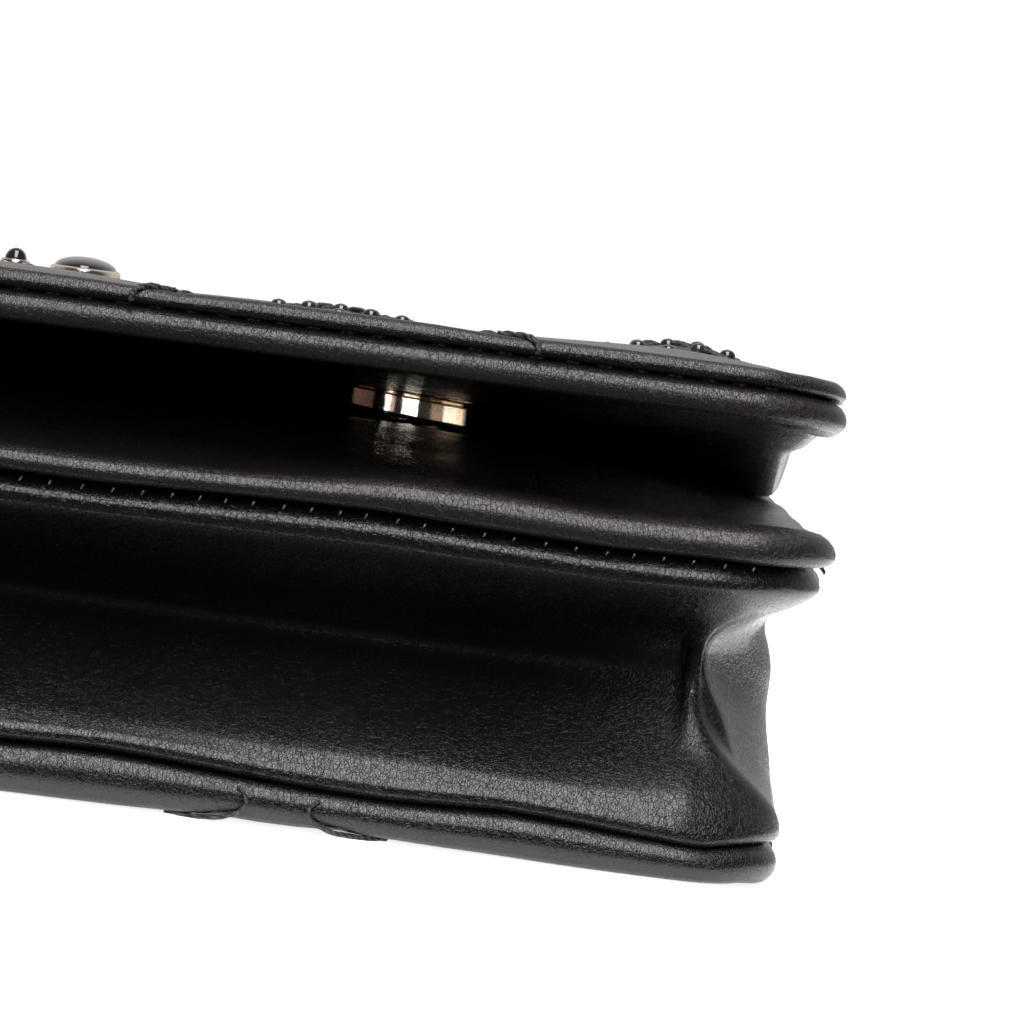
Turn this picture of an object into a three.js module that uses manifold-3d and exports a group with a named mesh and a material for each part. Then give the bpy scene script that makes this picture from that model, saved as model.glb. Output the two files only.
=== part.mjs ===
// Chain wallet, closed and lying on its back. Millimetres, +Z up.
// X is the width, -Y the bottom edge where the flap ends, +Y the folded spine, Z the thickness.
// The origin is at the centre of the underside.
import * as THREE from 'three';
import { mergeVertices } from 'three/addons/utils/BufferGeometryUtils.js';
import Module from 'manifold-3d';

const wasm = await Module();
wasm.setup();

// ---- Driving dimensions ------------------------------------------------------------------------
const WIDTH = 192;
const HEIGHT = 123;
const HALF_W = WIDTH / 2;
const HALF_H = HEIGHT / 2;
const CORNER_R = 7;
const GAP = 0.3;

const BACK_T = 3;
const LINING_T = 0.9;
const CARD_T = 0.7;

const MOUTH_Y = 50;
const FRONT_RIM_Z = 22.6;
const FRONT_T = 1.8;
const FRONT_CROWN = 3.8;
const FRONT_LINING_DROP = 1.9;
const FRONT_LINING_T = 0.8;

const GUSSET_T = 1.6;
const GUSSET_INSET = 0.5;
const SIDE_FOLD_DEPTH = 12.5;
const BOTTOM_FOLD_DEPTH = 3.6;

const FLAP_LOW_Z = 33.3;
const FLAP_LINING_T = 1.1;
const FLAP_OUTER_T = 1.6;
const FLAP_DIP = 5.8;
const FLAP_DIP_REACH = 52;
const FLAP_DIP_FADE_Y = [34, 55];
const FLAP_END_Y = 56.8;
const SPINE_HALF_W = 94;

const SNAP_Y = -30.5;
const SNAP_FLAT_R = 9.5;
const SNAP_FADE_R = 16;
const SNAP_POST_R = 1.45;
const SNAP_HOLE_R = 1.8;

const PLAQUE_Y = 2.5;
const PLAQUE_REACH = [13, 8.5];
const PLAQUE_T = 0.8;
const STONE_R = 2.55;
const STONE_STRETCH = 1.7;
const BEAD_R = 0.9;

const POCKET_HALF_W = 80;
const POCKET_BOTTOM_Y = -54;
const POCKET_TOP_Y = 34;
const POCKET_LOW_Z = 12.2;
const POCKET_T = 6.4;
const LEAF_T = 0.8;
const POCKET_WALL_T = 1.4;

const ZIP_HALF_L = 66;
const ZIP_Y = POCKET_TOP_Y + GAP;
const ZIP_Z = POCKET_LOW_Z + POCKET_T / 2;
const TEETH_REACH = 1.1;
const TEETH_RISE = 1;
const SLIDER_X = -58;
const SLIDER_T = 1.2;
const SLIDER_TOP_Y = ZIP_Y + TEETH_RISE + GAP + SLIDER_T;
const PULL_AXIS = 1;
const PULL_T = 0.8;

const RING_X = 99;
const RING_Y = 54.5;
const RING_Z = 7;
const RING_R = 5.5;
const RING_WIRE_R = 0.9;
const TAB_WIDTH = 7;

const CHAIN_W = 7;
const COIL_Y = 121.5;
const COIL_IN_R = 30;
const COIL_OUT_R = 52;
const COIL_LOW_Z = 0.2;
const COIL_TOP_Z = 14.6;
const COIL_LAYER = 7.2;

// ---- Materials ---------------------------------------------------------------------------------
const leather = new THREE.MeshStandardMaterial({ color: 0x171516, roughness: 0.42, metalness: 0 });
const quilted = new THREE.MeshStandardMaterial({ color: 0x191718, roughness: 0.4, metalness: 0 });
const lining = new THREE.MeshStandardMaterial({ color: 0x1c191a, roughness: 0.6, metalness: 0 });
const tapeFabric = new THREE.MeshStandardMaterial({ color: 0x141314, roughness: 0.85, metalness: 0 });
const paleMetal = new THREE.MeshStandardMaterial({ color: 0xe0cfb4, roughness: 0.16, metalness: 1 });
const enamel = new THREE.MeshStandardMaterial({ color: 0x121216, roughness: 0.15, metalness: 0 });

const wallet = new THREE.Group();
wallet.name = 'chain_wallet';

function add(name, geometry, material) {
  const mesh = new THREE.Mesh(geometry, material);
  mesh.name = name;
  wallet.add(mesh);
  return mesh;
}

// ---- Small helpers -----------------------------------------------------------------------------
function smooth(from, to, value) {
  return THREE.MathUtils.smoothstep(value, from, to);
}

function toManifold(geometry) {
  const plain = geometry.clone();
  plain.deleteAttribute('normal');
  plain.deleteAttribute('uv');
  const merged = mergeVertices(plain, 1e-4);
  const vertProperties = new Float32Array(merged.attributes.position.array);
  const triVerts = new Uint32Array(merged.index.array);
  return new wasm.Manifold(new wasm.Mesh({ numProp: 3, vertProperties, triVerts }));
}

function fromManifold(solid) {
  const mesh = solid.getMesh();
  const geometry = new THREE.BufferGeometry();
  geometry.setAttribute('position', new THREE.BufferAttribute(new Float32Array(mesh.vertProperties), 3));
  geometry.setIndex(new THREE.BufferAttribute(new Uint32Array(mesh.triVerts), 1));
  return geometry;
}

function cut(geometry, ...tools) {
  let solid = toManifold(geometry);
  for (const tool of tools) solid = solid.subtract(toManifold(tool));
  return fromManifold(solid);
}

// An upright cylinder from one height to another.
function post(x, y, radius, low, high, sides = 24) {
  const geometry = new THREE.CylinderGeometry(radius, radius, high - low, sides);
  geometry.rotateX(Math.PI / 2);
  geometry.translate(x, y, (low + high) / 2);
  return geometry;
}

function box(low, high) {
  const geometry = new THREE.BoxGeometry(high[0] - low[0], high[1] - low[1], high[2] - low[2]);
  geometry.translate((low[0] + high[0]) / 2, (low[1] + high[1]) / 2, (low[2] + high[2]) / 2);
  return geometry;
}

// A profile of [radius, height] points turned about the vertical line through (x, y).
function turned(x, y, profile, sides = 32) {
  const points = profile.map(([radius, z]) => new THREE.Vector2(radius, z));
  const geometry = new THREE.LatheGeometry(points, sides);
  geometry.rotateX(Math.PI / 2);
  geometry.translate(x, y, 0);
  return geometry;
}

function roundedRectangle(x0, y0, x1, y1, r) {
  const shape = new THREE.Shape();
  shape.moveTo(x0 + r, y0);
  shape.lineTo(x1 - r, y0);
  shape.absarc(x1 - r, y0 + r, r, -Math.PI / 2, 0);
  shape.lineTo(x1, y1 - r);
  shape.absarc(x1 - r, y1 - r, r, 0, Math.PI / 2);
  shape.lineTo(x0 + r, y1);
  shape.absarc(x0 + r, y1 - r, r, Math.PI / 2, Math.PI);
  shape.lineTo(x0, y0 + r);
  shape.absarc(x0 + r, y0 + r, r, Math.PI, 1.5 * Math.PI);
  return shape;
}

// A flat sheet with rounded corners between two heights.
function sheet(x0, y0, x1, y1, r, low, high) {
  const shape = roundedRectangle(x0, y0, x1, y1, r);
  const settings = { depth: high - low, bevelEnabled: false, curveSegments: 5 };
  const geometry = new THREE.ExtrudeGeometry(shape, settings);
  geometry.translate(0, 0, low);
  return geometry;
}

// An outline in the YZ plane, extruded along X.
function alongX(points, x0, x1) {
  const shape = new THREE.Shape(points.map(([y, z]) => new THREE.Vector2(y, z)));
  const geometry = new THREE.ExtrudeGeometry(shape, { depth: x1 - x0, bevelEnabled: false });
  geometry.rotateZ(Math.PI / 2);
  geometry.rotateY(Math.PI / 2);
  geometry.translate(x0, 0, 0);
  return geometry;
}

// ---- Panel surfaces ----------------------------------------------------------------------------
// Both leather surfaces that meet at the snap are level around it.
function levelAtSnap(x, y, height) {
  const distance = Math.hypot(x, y - SNAP_Y);
  const level = 1 - smooth(SNAP_FLAT_R, SNAP_FADE_R, distance);
  return THREE.MathUtils.lerp(height(x, y), height(0, SNAP_Y), level);
}

// The front panel bulges up in the middle, and least along its bottom edge and its mouth.
function frontRise(x, y) {
  const across = 1 - Math.pow(Math.abs(x) / HALF_W, 3);
  const up = y + HALF_H;
  const along = 0.1 + 0.9 * (1 - Math.exp(-Math.pow(up / 22, 1.5)));
  const mouth = 1 - 0.55 * smooth(15, MOUTH_Y, y);
  return FRONT_CROWN * across * along * mouth;
}

// The flap sags in the middle, most along its free edge.
function flapDip(x, y) {
  const across = 1 - Math.pow(Math.abs(x) / HALF_W, 1.4);
  const along = Math.exp(-(y + HALF_H) / FLAP_DIP_REACH);
  return FLAP_DIP * across * along * (1 - smooth(...FLAP_DIP_FADE_Y, y));
}

const frontUnder = (x, y) => FRONT_RIM_Z + levelAtSnap(x, y, frontRise);
const flapUnder = (x, y) => FLAP_LOW_Z - levelAtSnap(x, y, flapDip);
const snapFrontZ = frontUnder(0, SNAP_Y) + FRONT_T;
const snapFlapZ = flapUnder(0, SNAP_Y);

// Grid lines of the curved sheets, closest together round the snap and near the edges.
const GRID_X = [0, 6.5, 11, 17, 30, 45, 60, 74, 85, 92, HALF_W];
const COLUMNS = [...GRID_X.slice(1).reverse().map((x) => -x), ...GRID_X];
const SNAP_ROWS = [-17, -11, -6.5, 0, 6.5, 11, 17].map((step) => SNAP_Y + step);

function rowsBetween(y0, y1) {
  const rows = [y0, y0 + 5, ...SNAP_ROWS, -2, 14, 28, 40].filter((y) => y >= y0 && y < y1 - 2);
  return [...rows, y1];
}

// Pulls a point of a rectangle towards the middle so that the two bottom corners become round.
function roundCorner(x, y) {
  const inX = HALF_W - CORNER_R;
  const inY = -HALF_H + CORNER_R;
  if (Math.abs(x) <= inX || y >= inY) return [x, y];
  const dx = Math.abs(x) - inX;
  const dy = inY - y;
  const scale = Math.max(dx, dy) / Math.hypot(dx, dy);
  return [Math.sign(x) * (inX + dx * scale), inY - dy * scale];
}

// A curved leather sheet between two height functions over the wallet's outline.
function curvedSheet(inset, y1, under, over) {
  const rows = rowsBetween(-HALF_H, y1);
  const shrinkX = (HALF_W - inset) / HALF_W;
  const shrinkY = (HALF_H - inset) / HALF_H;
  const positions = [];
  const index = [];
  for (const surface of [under, over]) {
    for (const row of rows) {
      for (const column of COLUMNS) {
        const [x, y] = roundCorner(column, row);
        const px = Math.abs(x) > 20 ? x * shrinkX : x;
        const py = y < SNAP_Y - 12 ? y * shrinkY : y;
        positions.push(px, py, surface(x, y));
      }
    }
  }
  const across = COLUMNS.length;
  const up = rows.length;
  const layer = across * up;
  for (let r = 0; r < up - 1; r++) {
    for (let c = 0; c < across - 1; c++) {
      const a = r * across + c;
      const b = a + 1;
      const d = a + across;
      const e = d + 1;
      index.push(a, d, b, b, d, e);
      index.push(layer + a, layer + b, layer + d, layer + b, layer + e, layer + d);
    }
  }
  const rim = [];
  for (let c = 0; c < across; c++) rim.push(c);
  for (let r = 1; r < up; r++) rim.push(r * across + across - 1);
  for (let c = across - 2; c >= 0; c--) rim.push((up - 1) * across + c);
  for (let r = up - 2; r > 0; r--) rim.push(r * across);
  rim.forEach((a, i) => {
    const b = rim[(i + 1) % rim.length];
    index.push(a, b, layer + b, a, layer + b, layer + a);
  });
  const geometry = new THREE.BufferGeometry();
  geometry.setAttribute('position', new THREE.Float32BufferAttribute(positions, 3));
  geometry.setIndex(index);
  return geometry;
}

// ---- Back: quilted panel, lining and card pockets ----------------------------------------------
function buildBack() {
  const bevel = 0.8;
  const x = HALF_W - bevel;
  const y = HALF_H - bevel;
  const panel = new THREE.ExtrudeGeometry(roundedRectangle(-x, -y, x, y, CORNER_R - bevel), {
    depth: BACK_T - 2 * bevel,
    bevelThickness: bevel,
    bevelSize: bevel,
    bevelSegments: 2,
    curveSegments: 6,
  });
  panel.translate(0, 0, bevel);
  add('back_panel', panel, quilted);
  const liningLow = BACK_T + GAP;
  const liningTop = liningLow + LINING_T;
  add('back_lining', sheet(-90, -55, 90, 54, 4, liningLow, liningTop), lining);
  for (const [side, x0] of [['left', -86], ['right', 1.5]]) {
    for (let step = 0; step < 3; step++) {
      const low = liningTop + GAP + step * (CARD_T + GAP);
      const top = 46 - 9 * step;
      add(`card_pocket_${side}_${step + 1}`, sheet(x0, -42, x0 + 84.5, top, 2, low, low + CARD_T), leather);
    }
  }
}

// ---- Gusset: one strip folded inwards, round the two sides and the bottom ----------------------
function gussetPath() {
  const x = HALF_W - GUSSET_INSET;
  const bottom = -HALF_H + GUSSET_INSET;
  const r = CORNER_R + 1;
  const side = [MOUTH_Y, 34, 18, 2, -14, -26, -36, -44, bottom + r];
  const points = side.map((y) => ({ x: -x, y, nx: 1, ny: 0 }));
  for (let step = 1; step < 6; step++) {
    const angle = Math.PI + (step / 6) * (Math.PI / 2);
    const nx = -Math.cos(angle);
    const ny = -Math.sin(angle);
    points.push({ x: -x + r - r * nx, y: bottom + r - r * ny, nx, ny });
  }
  for (const px of [-x + r, -72, -54, -36, -18]) points.push({ x: px, y: bottom, nx: 0, ny: 1 });
  const mirrored = points.map((p) => ({ x: -p.x, y: p.y, nx: -p.nx, ny: p.ny })).reverse();
  return [...points, { x: 0, y: bottom, nx: 0, ny: 1 }, ...mirrored];
}

// Across the strip: out at both seams, folded in to a crease between them.
function gussetSection(p) {
  const along = smooth(-HALF_H + 6, -14, p.y);
  const depth = THREE.MathUtils.lerp(BOTTOM_FOLD_DEPTH, SIDE_FOLD_DEPTH, along);
  const foldZ = THREE.MathUtils.lerp(15.5, 13, along);
  const low = BACK_T + GAP;
  const high = frontUnder(p.x, p.y) - GAP;
  const outer = [[0, low], [0.5, low + 1.6], [depth, foldZ], [0.5, high - 1.6], [0, high]];
  const inner = outer.map(([n, z]) => [n + GUSSET_T, z]).reverse();
  return [...outer, ...inner].map(([n, z]) => [p.x + p.nx * n, p.y + p.ny * n, z]);
}

function buildGusset() {
  const sections = gussetPath().map(gussetSection);
  const count = sections[0].length;
  const positions = sections.flat(2);
  const index = [];
  for (let s = 0; s < sections.length - 1; s++) {
    for (let i = 0; i < count; i++) {
      const a = s * count + i;
      const b = s * count + ((i + 1) % count);
      index.push(a, a + count, b, b, a + count, b + count);
    }
  }
  const last = (sections.length - 1) * count;
  for (let i = 0; i < 4; i++) {
    const a = i;
    const b = i + 1;
    const c = count - 2 - i;
    const d = count - 1 - i;
    index.push(a, b, c, a, c, d);
    index.push(last + a, last + c, last + b, last + a, last + d, last + c);
  }
  const geometry = new THREE.BufferGeometry();
  geometry.setAttribute('position', new THREE.Float32BufferAttribute(positions, 3));
  geometry.setIndex(index);
  add('gusset', geometry, leather);
}

// ---- Spine: the leather that folds over the top edge -------------------------------------------
function buildSpine() {
  const outer = new THREE.QuadraticBezierCurve(
    new THREE.Vector2(HALF_H, 26), new THREE.Vector2(HALF_H, 34.6), new THREE.Vector2(57.4, 34.6));
  const inner = new THREE.QuadraticBezierCurve(
    new THREE.Vector2(57.4, 32.8), new THREE.Vector2(59.6, 32.6), new THREE.Vector2(59.6, 25));
  const outline = [
    [59.6, BACK_T + GAP],
    [HALF_H, BACK_T + GAP],
    ...outer.getPoints(8).map((p) => [p.x, p.y]),
    ...inner.getPoints(8).map((p) => [p.x, p.y]),
  ];
  add('spine', alongX(outline, -SPINE_HALF_W, SPINE_HALF_W), quilted);
}

// ---- Front: panel, lining and snap stud --------------------------------------------------------
function buildFront() {
  const hole = post(0, SNAP_Y, SNAP_HOLE_R, 15, 40);
  const panelOver = (x, y) => frontUnder(x, y) + FRONT_T;
  const liningUnder = (x, y) => frontUnder(x, y) - FRONT_LINING_DROP;
  const liningOver = (x, y) => liningUnder(x, y) + FRONT_LINING_T;
  add('front_panel', cut(curvedSheet(0, MOUTH_Y, frontUnder, panelOver), hole), leather);
  add('front_lining', curvedSheet(6, MOUTH_Y - 2, liningUnder, liningOver), lining);
  const top = snapFrontZ;
  const headTop = top - FRONT_T - GAP;
  add('snap_stud', turned(0, SNAP_Y, [
    [0, headTop - 0.45], [3, headTop - 0.45], [3, headTop], [SNAP_POST_R, headTop],
    [SNAP_POST_R, top + GAP], [2.6, top + GAP], [2.6, top + 0.5], [1.5, top + 0.55],
    [1.8, top + 0.75], [1.5, top + 0.98], [0, top + 1.05],
  ]), paleMetal);
}

// ---- Flap: quilted outer, lining, snap socket and plaque ---------------------------------------
function buildFlap() {
  const liningOver = (x, y) => flapUnder(x, y) + FLAP_LINING_T;
  const outerUnder = (x, y) => flapUnder(x, y) + FLAP_LINING_T + GAP;
  const outerOver = (x, y) => outerUnder(x, y) + FLAP_OUTER_T;
  const hole = post(0, SNAP_Y, SNAP_HOLE_R, 25, 40);
  const recessLow = snapFlapZ + FLAP_LINING_T - 1;
  const recessHigh = snapFlapZ + FLAP_LINING_T + GAP + 0.7;
  const recess = post(0, SNAP_Y, 3.4, recessLow, recessHigh);
  add('flap_lining', cut(curvedSheet(0, FLAP_END_Y, flapUnder, liningOver), hole), leather);
  add('flap_outer', cut(curvedSheet(0, FLAP_END_Y, outerUnder, outerOver), recess), quilted);

  const flange = snapFlapZ - GAP;
  const headLow = snapFlapZ + FLAP_LINING_T + GAP;
  const barrelLow = snapFrontZ + 0.4;
  add('snap_socket', turned(0, SNAP_Y, [
    [0, flange - 0.7], [3, flange - 0.7], [3, barrelLow], [4.7, barrelLow], [5.05, barrelLow + 0.2],
    [5.05, flange - 0.6], [4.5, flange - 0.4], [5.2, flange - 0.35], [5.2, flange], [SNAP_POST_R, flange],
    [SNAP_POST_R, headLow], [3, headLow], [3, headLow + 0.4], [0, headLow + 0.4],
  ]), paleMetal);
  buildPlaque(outerOver);
}

// A plain oval plate with two long stones and a bead, lying on the flap.
function buildPlaque(surface) {
  const [reachX, reachY] = PLAQUE_REACH;
  const rim = [[0, -reachY], [0, reachY], [reachX, reachY]];
  const seats = rim.map(([x, y]) => surface(x, PLAQUE_Y + y));
  const low = Math.max(...seats) + GAP;
  const high = low + PLAQUE_T;
  const edge = 0.25;
  const oval = new THREE.Shape();
  oval.absellipse(0, 0, reachX - edge, reachY - edge, 0, 2 * Math.PI);
  const plate = new THREE.ExtrudeGeometry(oval, {
    depth: PLAQUE_T - 2 * edge,
    bevelThickness: edge,
    bevelSize: edge,
    bevelSegments: 2,
    curveSegments: 32,
  });
  plate.translate(0, PLAQUE_Y, low + edge);
  add('plaque', plate, paleMetal);
  const dome = (r) => [[0, 0], [r, 0], [r, 0.25], [0.8 * r, 0.75], [0.45 * r, 1], [0, 1.08]];
  for (const [name, y] of [['plaque_stone_lower', -3.2], ['plaque_stone_upper', 8.2]]) {
    const stone = turned(0, 0, dome(STONE_R), 24);
    stone.scale(STONE_STRETCH, 1, 1);
    stone.translate(0, y, high + GAP);
    add(name, stone, enamel);
  }
  const bead = turned(0, 0, dome(BEAD_R), 16);
  bead.translate(0, PLAQUE_Y, high + GAP);
  add('plaque_bead', bead, enamel);
}

// ---- Zip pocket between the two compartments ---------------------------------------------------
function outlineShape(points) {
  return new THREE.Shape(points.map(([x, y]) => new THREE.Vector2(x, y)));
}

function buildPocket() {
  const low = POCKET_LOW_Z;
  const high = low + POCKET_T;
  const x = POCKET_HALF_W;
  add('pocket_leaf_back', sheet(-x, POCKET_BOTTOM_Y, x, POCKET_TOP_Y, 4, low, low + LEAF_T), leather);
  add('pocket_leaf_front', sheet(-x, POCKET_BOTTOM_Y, x, POCKET_TOP_Y, 4, high - LEAF_T, high), leather);

  const corner = 3.6;
  const outer = { x: x - 0.4, y: POCKET_BOTTOM_Y + 0.4 };
  const inner = { x: outer.x - POCKET_WALL_T, y: outer.y + POCKET_WALL_T };
  const top = POCKET_TOP_Y - 0.5;
  const walls = outlineShape([
    [-outer.x, top], [-outer.x, outer.y + corner], [-outer.x + corner, outer.y],
    [outer.x - corner, outer.y], [outer.x, outer.y + corner], [outer.x, top],
    [inner.x, top], [inner.x, inner.y + corner], [inner.x - corner, inner.y],
    [-inner.x + corner, inner.y], [-inner.x, inner.y + corner], [-inner.x, top],
  ]);
  const inside = [low + LEAF_T + GAP, high - LEAF_T - GAP];
  const strip = new THREE.ExtrudeGeometry(walls, { depth: inside[1] - inside[0], bevelEnabled: false });
  strip.translate(0, 0, inside[0]);
  add('pocket_side_strip', strip, lining);
}

// A span between two distances from a middle, on the side the sign gives, low end first.
function span(middle, sign, near, far) {
  const ends = [middle + sign * near, middle + sign * far];
  return ends.sort((a, b) => a - b);
}

// The tapes and teeth lie across the pocket's mouth, with a stop at each end.
function buildZip() {
  const tapeEnd = ZIP_HALF_L + 8;
  const face = ZIP_Y - 0.2;
  const top = ZIP_Y + TEETH_RISE;
  for (const [side, sign] of [['back', -1], ['front', 1]]) {
    const tape = span(ZIP_Z, sign, TEETH_REACH + GAP, POCKET_T / 2 - 0.2);
    const teeth = span(ZIP_Z, sign, GAP / 2, TEETH_REACH);
    add(`zip_tape_${side}`, box([-tapeEnd, ZIP_Y, tape[0]], [tapeEnd, ZIP_Y + 0.6, tape[1]]), tapeFabric);
    add(`zip_teeth_${side}`, box([-ZIP_HALF_L, face, teeth[0]], [ZIP_HALF_L, top, teeth[1]]), paleMetal);
  }
  for (const [side, sign] of [['left', -1], ['right', 1]]) {
    const ends = span(0, sign, ZIP_HALF_L + GAP, ZIP_HALF_L + 2.3);
    add(`zip_stop_${side}`, box([ends[0], face, ZIP_Z - 1], [ends[1], top + 0.1, ZIP_Z + 1]), paleMetal);
  }
}

// The slider's arch holds the pull's cross bar, so the pull turns about a line along Z.
function buildSlider() {
  const body = outlineShape([
    [-4, -1.6], [2.6, -2.6], [3.6, -2.3], [4, -1.5], [4, 1.5], [3.6, 2.3], [2.6, 2.6], [-4, 1.6],
  ]);
  const plate = new THREE.ExtrudeGeometry(body, { depth: SLIDER_T, bevelEnabled: false });
  plate.rotateX(-Math.PI / 2);
  plate.translate(SLIDER_X, SLIDER_TOP_Y - SLIDER_T, ZIP_Z);
  const archOutline = outlineShape([
    [-2.2, -0.3], [-1.5, -0.3], [-1.5, 1.4], [-1.2, 1.7], [1.2, 1.7], [1.5, 1.4],
    [1.5, -0.3], [2.2, -0.3], [2.2, 1.7], [1.5, 2.4], [-1.5, 2.4], [-2.2, 1.7],
  ]);
  const archDepth = 1.2;
  const arch = new THREE.ExtrudeGeometry(archOutline, { depth: archDepth, bevelEnabled: false });
  arch.translate(SLIDER_X, SLIDER_TOP_Y, ZIP_Z - archDepth / 2);
  add('zip_slider', fromManifold(toManifold(plate).add(toManifold(arch))), paleMetal);
}

// A flat leaf with a slot at one end for the arch and a round end to hold.
function buildPull() {
  const neck = 1.7;
  const round = 2.4;
  const outline = outlineShape([[-0.4, -neck], [4, -neck], [13, -round]]);
  outline.absarc(14, 0, round, -Math.PI / 2, Math.PI / 2);
  outline.lineTo(13, round);
  outline.lineTo(4, neck);
  outline.lineTo(-0.4, neck);
  const slot = [[0.5, -1], [0.5, 1], [3.4, 1], [3.4, -1]];
  outline.holes.push(new THREE.Path(slot.map(([x, y]) => new THREE.Vector2(x, y))));
  const leaf = new THREE.ExtrudeGeometry(outline, { depth: PULL_T, bevelEnabled: false, curveSegments: 6 });
  leaf.rotateX(-Math.PI / 2);
  leaf.translate(SLIDER_X, SLIDER_TOP_Y + PULL_AXIS - PULL_T / 2, ZIP_Z);
  add('zip_pull', leaf, paleMetal);
}

// ---- Strap fittings and chain ------------------------------------------------------------------
// A strip of leather folded round the ring and sewn into the gusset.
function buildTab(name, side) {
  const inX = 87;
  const barIn = 92.1;
  const barOut = 96;
  const thick = 1;
  const half = 1.3;
  const outline = new THREE.Shape();
  outline.moveTo(inX, -half - thick);
  outline.lineTo(barOut, -half - thick);
  outline.absarc(barOut, 0, half + thick, -Math.PI / 2, Math.PI / 2);
  outline.lineTo(inX, half + thick);
  const hole = new THREE.Path();
  hole.moveTo(barIn, -half);
  hole.lineTo(barIn, half);
  hole.lineTo(barOut, half);
  hole.absarc(barOut, 0, half, Math.PI / 2, -Math.PI / 2, true);
  outline.holes.push(hole);
  const tab = new THREE.ExtrudeGeometry(outline, { depth: TAB_WIDTH, bevelEnabled: false, curveSegments: 6 });
  tab.translate(0, 0, -TAB_WIDTH / 2);
  tab.rotateX(Math.PI / 2);
  if (side < 0) tab.rotateZ(Math.PI);
  tab.translate(0, RING_Y, RING_Z);
  add(name, tab, leather);
}

function buildStrapFittings() {
  for (const [side, sign] of [['left', -1], ['right', 1]]) {
    buildTab(`strap_tab_${side}`, sign);
    const ring = new THREE.TorusGeometry(RING_R, RING_WIRE_R, 8, 28);
    ring.translate(sign * RING_X, RING_Y, RING_Z);
    add(`strap_ring_${side}`, ring, paleMetal);
  }
}

// Both leads leave their ring towards the back and join the coil on the side next to the wallet.
const LEAD_ROUTE = [
  [RING_X, 61.5, RING_Z], [98.6, 67, 5.5], [95, 73.5, 4.2], [88, 78, 3.7],
  [78, 79.5, 3.7], [55, 78, 3.7], [33, 76.4, 3.7],
];

// The left lead starts the coil's lower layer; the right one comes down from the upper layer.
function buildLead(name, sign) {
  const lift = (x) => (sign > 0 ? COIL_LAYER * (1 - smooth(33, 78, x)) : 0);
  const points = LEAD_ROUTE.map(([x, y, z]) => new THREE.Vector3(sign * x, y, z + lift(x)));
  const section = new THREE.Shape();
  section.absarc(0, 0, CHAIN_W / 2, 0, 2 * Math.PI);
  const lead = new THREE.ExtrudeGeometry(section, {
    steps: 14,
    extrudePath: new THREE.CatmullRomCurve3(points),
    curveSegments: 4,
  });
  add(name, lead, paleMetal);
}

function buildChain() {
  buildLead('chain_lead_left', -1);
  buildLead('chain_lead_right', 1);
  const coil = turned(0, COIL_Y, [
    [COIL_IN_R, COIL_LOW_Z], [COIL_OUT_R, COIL_LOW_Z], [COIL_OUT_R, COIL_TOP_Z],
    [COIL_IN_R, COIL_TOP_Z], [COIL_IN_R, COIL_LOW_Z],
  ], 40);
  add('chain_coil', coil, paleMetal);
}

buildBack();
buildGusset();
buildSpine();
buildFront();
buildPocket();
buildZip();
buildSlider();
buildPull();
buildFlap();
buildStrapFittings();
buildChain();

export default wallet;
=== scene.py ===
# Chain wallet in black leather, closed and lying on its back. Built in millimetres, made in metres.
# X is the width, -Y the bottom edge where the flap ends, +Y the folded spine, Z the thickness.
import math

import bmesh
import bpy
import numpy as np
from mathutils import Matrix, Vector


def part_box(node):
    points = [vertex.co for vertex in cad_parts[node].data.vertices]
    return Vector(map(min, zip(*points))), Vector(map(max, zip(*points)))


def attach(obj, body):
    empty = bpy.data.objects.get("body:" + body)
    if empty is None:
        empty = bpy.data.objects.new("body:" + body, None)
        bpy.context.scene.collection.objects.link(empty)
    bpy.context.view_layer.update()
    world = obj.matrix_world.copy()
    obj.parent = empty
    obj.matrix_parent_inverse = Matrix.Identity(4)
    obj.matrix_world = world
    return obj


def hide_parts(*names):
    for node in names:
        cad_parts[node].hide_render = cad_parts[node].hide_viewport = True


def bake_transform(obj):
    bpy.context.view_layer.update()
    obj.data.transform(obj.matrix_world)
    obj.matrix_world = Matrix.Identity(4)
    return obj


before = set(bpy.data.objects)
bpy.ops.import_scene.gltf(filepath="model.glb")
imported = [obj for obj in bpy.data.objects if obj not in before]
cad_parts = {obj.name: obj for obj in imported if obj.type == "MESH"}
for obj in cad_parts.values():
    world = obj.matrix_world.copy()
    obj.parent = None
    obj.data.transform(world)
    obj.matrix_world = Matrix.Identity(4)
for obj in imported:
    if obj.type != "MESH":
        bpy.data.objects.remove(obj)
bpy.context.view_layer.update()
MM = 0.001

# ---- Dimensions, in millimetres ----------------------------------------------------------------
HALF_W, HALF_H = 96.0, 61.5
MOUTH_Y = 50.0
FRONT_RIM_Z, FRONT_T, FRONT_CROWN = 22.6, 1.8, 3.8
FLAP_LOW_Z, FLAP_LINING_T, FLAP_DIP, FLAP_END_Y = 33.3, 1.45, 5.8, 56.5
SNAP_Y, SNAP_FLAT_R, SNAP_FADE_R = -30.5, 9.5, 16.0
HINGE_R, SPINE_LOW_Z = 3.0, 3.35
FLAP_LEAN = 1.1
FLAP_CELL, BACK_CELL = (42.16, 47.0), (39.2, 47.0)
FLAP_ORIGIN, BACK_ORIGIN = (0.0, -26.1), (19.6, -26.5)
CHAIN_W, COIL_Y, COIL_LAYER = 7.0, 121.5, 7.2
RING_X, RING_Y, RING_Z = 99.0, 54.5, 7.0


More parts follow.
